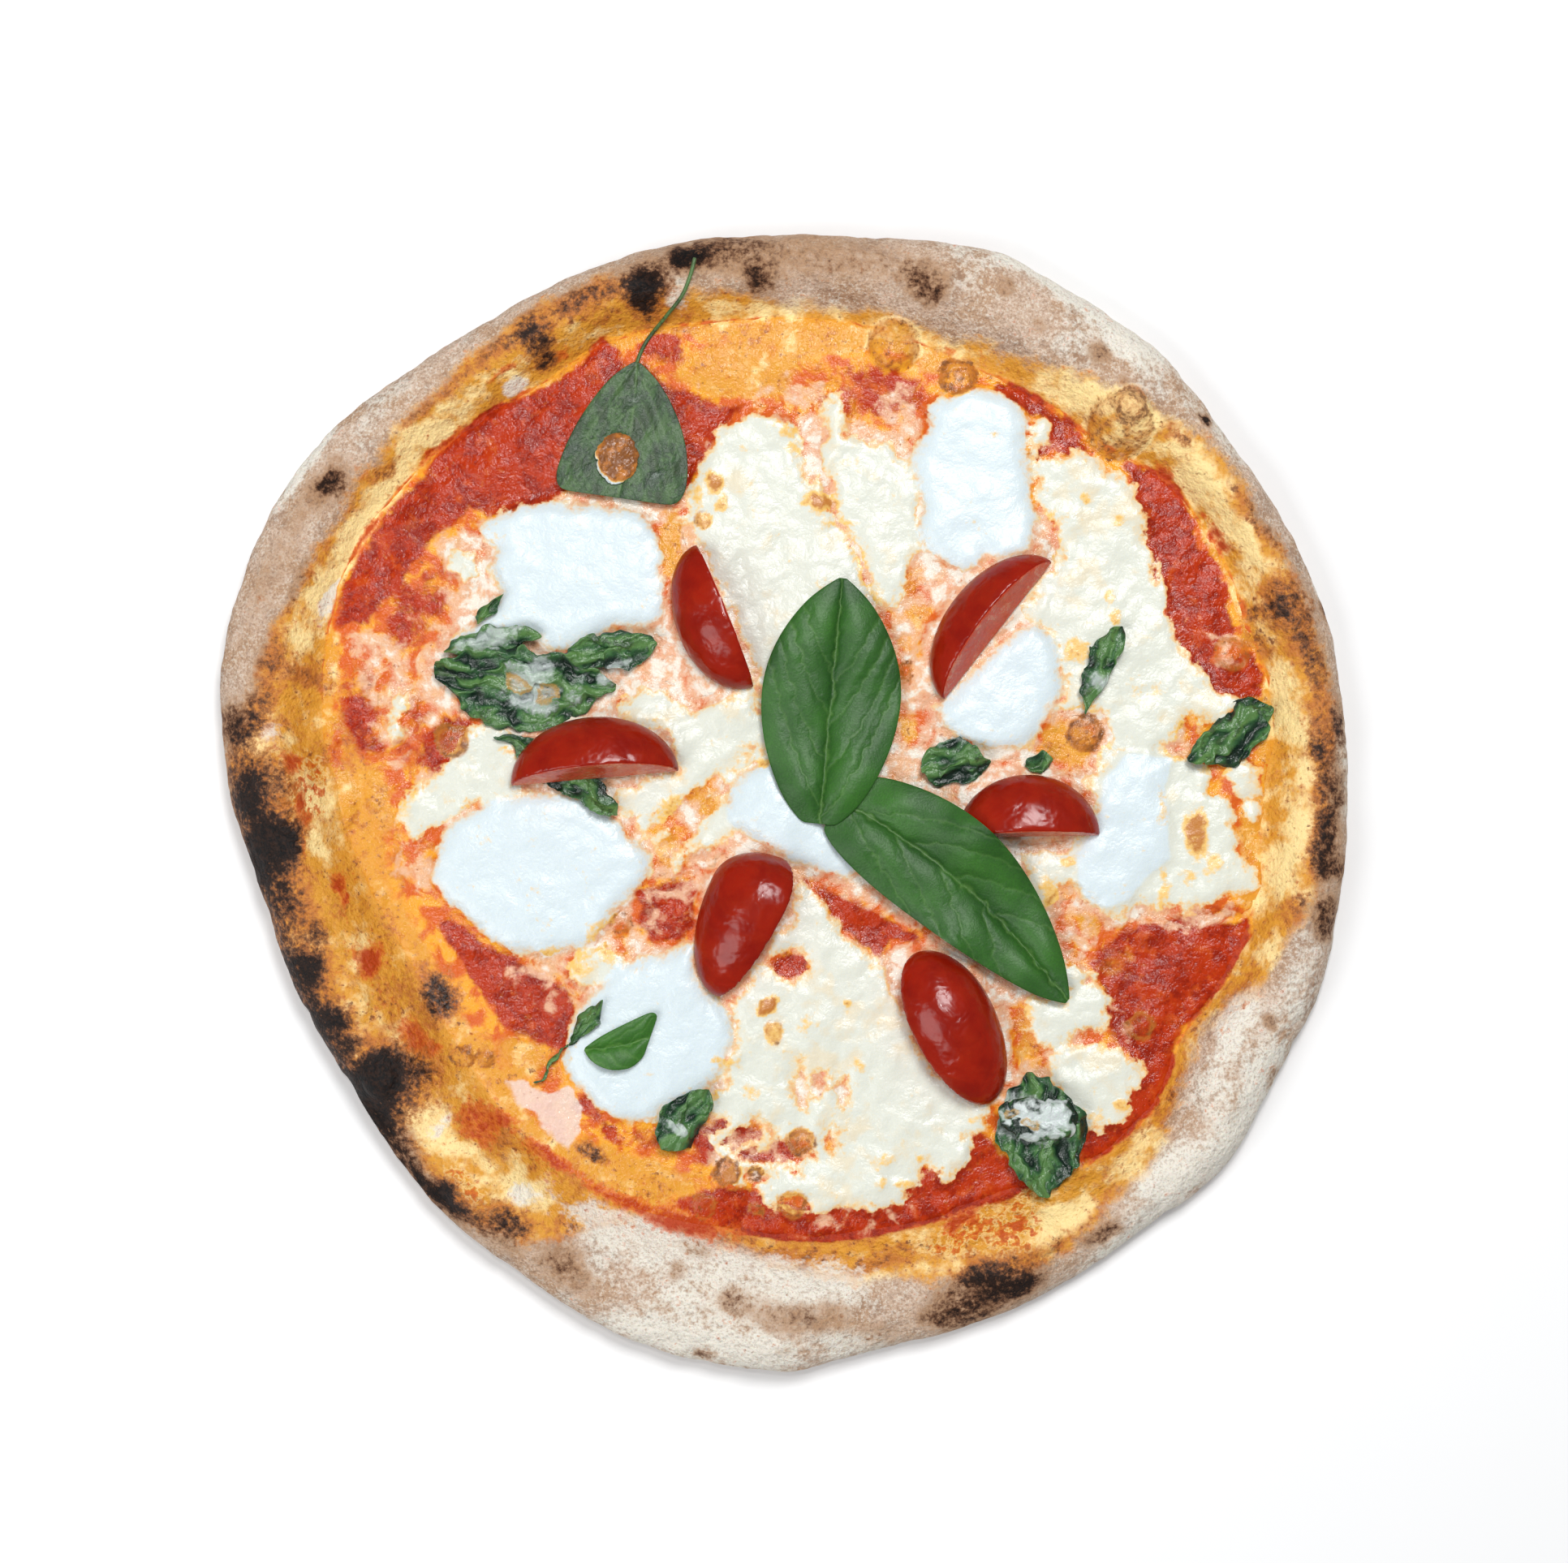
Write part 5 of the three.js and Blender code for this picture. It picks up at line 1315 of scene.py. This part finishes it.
class PIZZA_OT_tomatoes(bpy.types.Operator):
    """Cuts the tomato wedges"""
    bl_idname = "pizza.tomatoes"
    bl_label = "Tomato wedges"

    CLEAR = 0.02 * MM  # how far the cuts stay off the rows of corners through the middle

    def execute(self, context):
        material = tomato_finish(context.scene.tomato_look)
        for name, spec in WEDGES.items():
            obj = self.wedge(name, spec)
            finish_mesh(obj, material, math.radians(50))
            tag(obj, "tomato", "tomato_" + name)
        return {"FINISHED"}

    def wedge(self, name, spec):
        (cx, cy), turn, long, wide, tall, lean, stub, side = spec
        bpy.ops.mesh.primitive_uv_sphere_add(segments=96, ring_count=64, radius=1)
        obj = bpy.context.active_object
        obj.name = "tomato_wedge_" + name
        x, y, z = corners(obj) * MM  # the ball's own places, from -1 to 1
        move_corners(obj, z * long / 2 * np.where(z > 0, stub, 1), x * wide, y * tall)
        tilt = math.atan(lean)
        with editing(obj):
            self.cut((0, 0, self.CLEAR), (0, 0, -1))
            self.cut((0, self.CLEAR * side, 0), (0, -side * math.cos(tilt), math.sin(tilt)))
        remesh = obj.modifiers.new("Remesh", "REMESH")
        remesh.mode = "VOXEL"
        remesh.voxel_size = 0.5 * MM
        soften = obj.modifiers.new("Soften", "SMOOTH")
        soften.factor = 0.5
        soften.iterations = 4
        apply_modifiers(obj)
        x, y, z = corners(obj)
        away = np.minimum(z, side * (y - side * lean * z) / math.hypot(1, lean))
        shell = np.sqrt((2 * x / long / np.where(x > 0, stub, 1)) ** 2 + (y / wide) ** 2 + (z / tall) ** 2)
        paint(obj, "cut", smoothstep(0.7, 0.2, away) * smoothstep(1.0, 0.95, shell))
        x, y = turned(x, y, turn)
        move_corners(obj, cx + x, cy + y, z - z.min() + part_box("tomato_" + name)[0][2] / MM)
        return obj

    def cut(self, point, normal):
        """Slices the mesh being edited and closes it, dropping the side that normal points to."""
        bpy.ops.mesh.select_all(action="SELECT")
        bpy.ops.mesh.bisect(
            plane_co=point, plane_no=normal, use_fill=True, clear_outer=True, threshold=0.001 * MM)


# ---------------------------------------------------------------- basil

def leaf_width(share, full, base, tip):
    """Half the leaf's outline at a share of its length, as a share of its widest part."""
    share = np.clip(share, 0, 1)
    rising = base + (1 - base) * np.sin(np.clip(share / full, 0, 1) * math.pi / 2) ** 0.72
    falling = tip + (1 - tip) * np.sin(np.clip((1 - share) / (1 - full), 0, 1) * math.pi / 2) ** 0.72
    return np.where(share < full, rising, falling)


def leaf_places(x, y, spec):
    """Share of the leaf's length, millimetres to the left of its midrib, and that length."""
    (x0, y0), (x1, y1), *_, bow, skew = spec
    long = math.hypot(x1 - x0, y1 - y0)
    along = ((x - x0) * (x1 - x0) + (y - y0) * (y1 - y0)) / long
    aside = ((y - y0) * (x1 - x0) - (x - x0) * (y1 - y0)) / long
    share = along / long
    for _ in range(4):
        share = (along - skew * (aside - bow * np.sin(math.pi * np.clip(share, 0, 1)))) / long
    return share, aside - bow * np.sin(math.pi * np.clip(share, 0, 1)), long


def lengthwise(x, y):
    """Places turned so that the first runs along the longer way of a leaf, from its middle."""
    middle_x, middle_y = x.mean(), y.mean()
    _, axes = np.linalg.eigh(np.cov(x - middle_x, y - middle_y))
    turn = math.degrees(math.atan2(axes[1, 1], axes[0, 1]))
    return turned(x - middle_x, y - middle_y, -turn)


def fresh_leaf_finish(look):
    finish = Finish("Fresh basil", Specular_IOR_Level=0.34, Subsurface_Weight=0.15,
                    Subsurface_Radius=(0.3, 1.0, 0.15), Subsurface_Scale=0.001)
    vein, lift = finish.painted("vein"), finish.painted("lift")
    cloud = finish.noise(14, seed=41)
    grain = finish.noise(0.6, seed=42)
    # lift lightens the raised middle of the blade and the puffs between veins: painted highlight. On the
    # small leaf it is a lighter young green all over.
    blade = finish.mix(cloud.ramp(0.35, 0.7) * 0.35 + lift * 0.4, look.fresh, look.light)
    blade = finish.mix(grain.ramp(0.35, 0.7) * 0.2, blade, look.dark)
    blade = finish.mix(vein * 0.24, blade, look.vein)
    relief = finish.bump(grain + cloud, 0.25, 0.4)
    finish.connect(Base_Color=blade, Roughness=0.34 + grain * 0.2, Normal=relief)
    return finish.material


def baked_leaf_finish(look):
    finish = Finish("Baked basil", Specular_IOR_Level=0.5, Subsurface_Weight=0.1,
                    Subsurface_Radius=(0.3, 1.0, 0.3), Subsurface_Scale=0.001)
    vein, dry, ridge, film, toast = map(finish.painted, ("vein", "dry", "ridge", "film", "toast"))
    cloud = finish.noise(6, seed=51, detail=4)
    grain = finish.noise(0.8, seed=52)
    # Dark low and pale high on the crumple height: painted shade in the folds and painted highlight on the
    # ridges, broken by noise.
    blade = finish.mix((cloud + ridge * 0.3).ramp(0.4, 0.72), look.dark, look.baked)
    blade = finish.mix((ridge + cloud).ramp(0.8, 1.4) * 0.6, blade, look.pale)
    blade = finish.mix(dry * 0.8, blade, look.dull)
    blade = finish.mix(vein * (0.45 - dry * 0.25), blade, look.vein)
    blade = finish.mix((cloud + grain * 0.4 + dry * 0.04).ramp(0.72, 0.84) * 0.6, blade, look.dark)
    milky = (film + (cloud - 0.5) * 2.4 + (grain - 0.5) * 0.6).ramp(0.3, 0.9)
    blade = finish.mix(milky * 0.55 + (film + cloud).ramp(1.3, 2.0) * 0.3, blade, look.film)
    blade = finish.mix((toast + (grain - 0.5) * 0.8).ramp(0.1, 0.7) * 0.85, blade, look.blister)
    relief = finish.bump(cloud + grain * 0.3, 1.2, 0.7)
    finish.connect(Base_Color=blade, Roughness=0.26 + dry * 0.22, Normal=relief)
    return finish.material


class PIZZA_OT_basil(bpy.types.Operator):
    """Lays the baked and the fresh basil leaves"""
    bl_idname = "pizza.basil"
    bl_label = "Basil"

    def execute(self, context):
        look = context.scene.basil_look
        fresh, baked = fresh_leaf_finish(look), baked_leaf_finish(look)
        for node in sorted(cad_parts):
            if node.startswith("fresh_basil"):
                self.fresh_leaf(node, fresh)
            elif node.startswith("baked_basil"):
                self.baked_leaf(node, baked)
        return {"FINISHED"}

    def fresh_leaf(self, node, material):
        large = not node.endswith("small")
        obj = dressed_copy(node, node + "_leaf")
        subdivide(obj, 4 if large else 3)
        x, y, z = corners(obj)
        share, aside, _ = leaf_places(x, y, LEAVES[node])
        vein, puff = self.veins(*leaf_places(*bent(x, y, 0.9, 87), LEAVES[node]), 4 if large else 3)
        uneven = 0.6 + 0.5 * rough(x, y, 9, 81, 1)
        wide, full, base, tip = LEAVES[node][2:6]
        across = np.clip(np.abs(aside) / (wide / 2 * leaf_width(share, full, base, tip) + 0.1), 0, 1)
        pillow = 2 * np.sin(math.pi * across ** 0.8)
        pillow = pillow * smoothstep(0, 0.15, share) * smoothstep(1, 0.8, share)
        lift = pillow + 0.4 * puff * uneven - 0.3 * vein + 0.6 * rough(x, y, 15, 83, 1)
        if not large:
            lift = lift * 0.5
        move_corners(obj, x, y, z + lift)
        paint(obj, "vein", vein)
        # Painted highlight: lighter where the large leaves' blade is raised; the small leaf is lighter green
        # all over.
        paint(obj, "lift", 0.3 * pillow + 0.4 * puff * uneven if large else np.full_like(x, 1.4))
        finish_mesh(obj, material)
        tag(obj, "fresh_basil", node)

    def veins(self, share, aside, long, pairs):
        """How strongly each point is on a vein, and how puffed up it is between them."""
        away = np.abs(aside)
        nearest = np.full_like(share, 1e3)
        steep = 1.2 + 0.11 * away
        for k in range(pairs):
            for half in (-1, 1):
                start = (0.02 + (k + 0.3 * (half > 0)) * 0.72 / pairs) * long
                across = np.abs(share * long - start - 1.2 * away - 0.055 * away ** 2)
                gap = np.where(aside * half > -0.2, across / np.hypot(1, steep), 1e3)
                nearest = np.minimum(nearest, gap)
        rib = np.exp(-(aside / 0.4) ** 2)
        side = np.exp(-(nearest / 0.3) ** 2)
        puff = smoothstep(0, 2.6, nearest) * smoothstep(0, 2, away)
        return np.maximum(rib, 0.5 * side), puff

    def baked_leaf(self, node, material):
        obj = dressed_copy(node, node + "_leaf")
        dried = node in LEAVES
        subdivide(obj, 3)
        x, y, z = corners(obj)
        along, aside = lengthwise(x, y)
        ridge = 0.5 + 1.1 * rough(along / 2.4, aside, 4.5, 95, 3)
        vein = np.exp(-(aside / 0.5) ** 2) * 0.5
        if dried:
            share, *across = leaf_places(x, y, LEAVES[node])
            vein, puff = self.veins(share, *across, 5)
            vein = np.where(share < 0, 0.9, vein)
            lift = (0.3 * puff - 0.2 * vein + 0.3 * rough(x, y, 8, 93)) * smoothstep(-0.02, 0.02, share)
            move_corners(obj, x, y, z + lift)
        else:
            crumpled_x, crumpled_y = bent(x, y, 1.5, 97)
            move_corners(obj, crumpled_x, crumpled_y, z + 1.5 * ridge - 0.4 * vein)
        paint(obj, "vein", vein * 0.8)
        # ridge is the crumple height; the finish turns it into painted highlight on ridges and painted shade
        # in folds.
        paint(obj, "ridge", ridge)
        paint(obj, "film", painted(x, y, FILM))
        paint(obj, "toast", bubble_skin(x, y))
        paint(obj, "dry", np.full_like(x, 0.8 if dried else 0))
        finish_mesh(obj, material)
        tag(obj, "baked_basil", node)


# ---------------------------------------------------------------- stage

def stage_finish(name, look):
    finish = Finish(name, Roughness=0.9, Specular_IOR_Level=0.1)
    grain = finish.noise(40, seed=61, detail=2)
    finish.connect(Base_Color=finish.mix(grain.ramp(0.3, 0.7) * 0.02, look.floor, (0.8, 0.8, 0.8)))
    return finish.material


class PIZZA_OT_stage(bpy.types.Operator):
    """Adds the floor, the soft lights and the camera above the pizza"""
    bl_idname = "pizza.stage"
    bl_label = "Stage"

    VIEW_WIDTH = 434.7 * MM  # what the picture spans from side to side
    DISTANCE = 1.0  # from the camera to the height it looks at
    AIM = (-0.7 * MM, 6.5 * MM, 9 * MM)
    SENSOR = 36

    def execute(self, context):
        look = context.scene.stage_look
        bpy.ops.object.select_all(action="DESELECT")
        bpy.ops.mesh.primitive_circle_add(vertices=96, radius=4, fill_type="NGON", location=(0, 0, 0))
        floor = context.active_object
        floor.name = "floor"
        floor.data.materials.append(stage_finish("Floor", look))

        world = bpy.data.worlds.new("Studio")
        context.scene.world = world
        world.use_nodes = True
        sky = world.node_tree.nodes["Background"].inputs
        sky["Color"].default_value = (0.93, 0.96, 1.0, 1)
        sky["Strength"].default_value = 0.2

        self.light("key", place=(0.22, 0.5, 1.2), side=look.key_size, power=11.7)
        self.light("fill", place=(-0.65, -0.45, 0.95), side=0.7, power=6.9)
        self.light("glint", place=(-0.05, 0.22, 1.3), side=0.06, power=2.1)

        bpy.ops.object.camera_add(location=(self.AIM[0], self.AIM[1], self.AIM[2] + self.DISTANCE))
        camera = context.active_object
        camera.rotation_euler = (0, 0, 0)
        camera.data.sensor_width = self.SENSOR
        camera.data.lens = self.SENSOR * self.DISTANCE / self.VIEW_WIDTH
        context.scene.camera = camera
        context.scene.view_settings.view_transform = "Standard"
        return {"FINISHED"}

    def light(self, name, place, side, power):
        """An area light at a place, turned to the middle of the floor."""
        bpy.ops.object.light_add(type="AREA", location=place)
        light = bpy.context.active_object
        light.name = name
        light.data.size = side
        light.data.energy = power
        light.rotation_euler = Vector(place).to_track_quat("Z", "Y").to_euler()


# ---------------------------------------------------------------- add-on

STEPS = (PIZZA_OT_stage, PIZZA_OT_crust, PIZZA_OT_sauce, PIZZA_OT_cheese, PIZZA_OT_tomatoes, PIZZA_OT_basil)
LOOKS = {
    "crust_look": CrustLook,
    "sauce_look": SauceLook,
    "cheese_look": CheeseLook,
    "tomato_look": TomatoLook,
    "basil_look": BasilLook,
    "stage_look": StageLook,
}


class PIZZA_PT_panel(bpy.types.Panel):
    """Lists the pizza's pieces and their sizes and colours"""
    bl_idname = "PIZZA_PT_panel"
    bl_label = "Margherita pizza"
    bl_space_type = "VIEW_3D"
    bl_region_type = "UI"
    bl_category = "Pizza"

    def draw(self, context):
        for step in STEPS:
            self.layout.operator(step.bl_idname)
        for name, group in LOOKS.items():
            box = self.layout.box()
            box.label(text=name.replace("_", " ").capitalize())
            for key in group.__annotations__:
                box.prop(getattr(context.scene, name), key)


def register():
    for group in (*LOOKS.values(), *STEPS, PIZZA_PT_panel):
        bpy.utils.register_class(group)
    for name, group in LOOKS.items():
        setattr(bpy.types.Scene, name, PointerProperty(type=group))


def unregister():
    for name in LOOKS:
        delattr(bpy.types.Scene, name)
    for group in reversed((*LOOKS.values(), *STEPS, PIZZA_PT_panel)):
        bpy.utils.unregister_class(group)


def main():
    register()
    for step in STEPS:
        area, name = step.bl_idname.split(".")
        getattr(getattr(bpy.ops, area), name)()


if __name__ == "__main__":
    main()
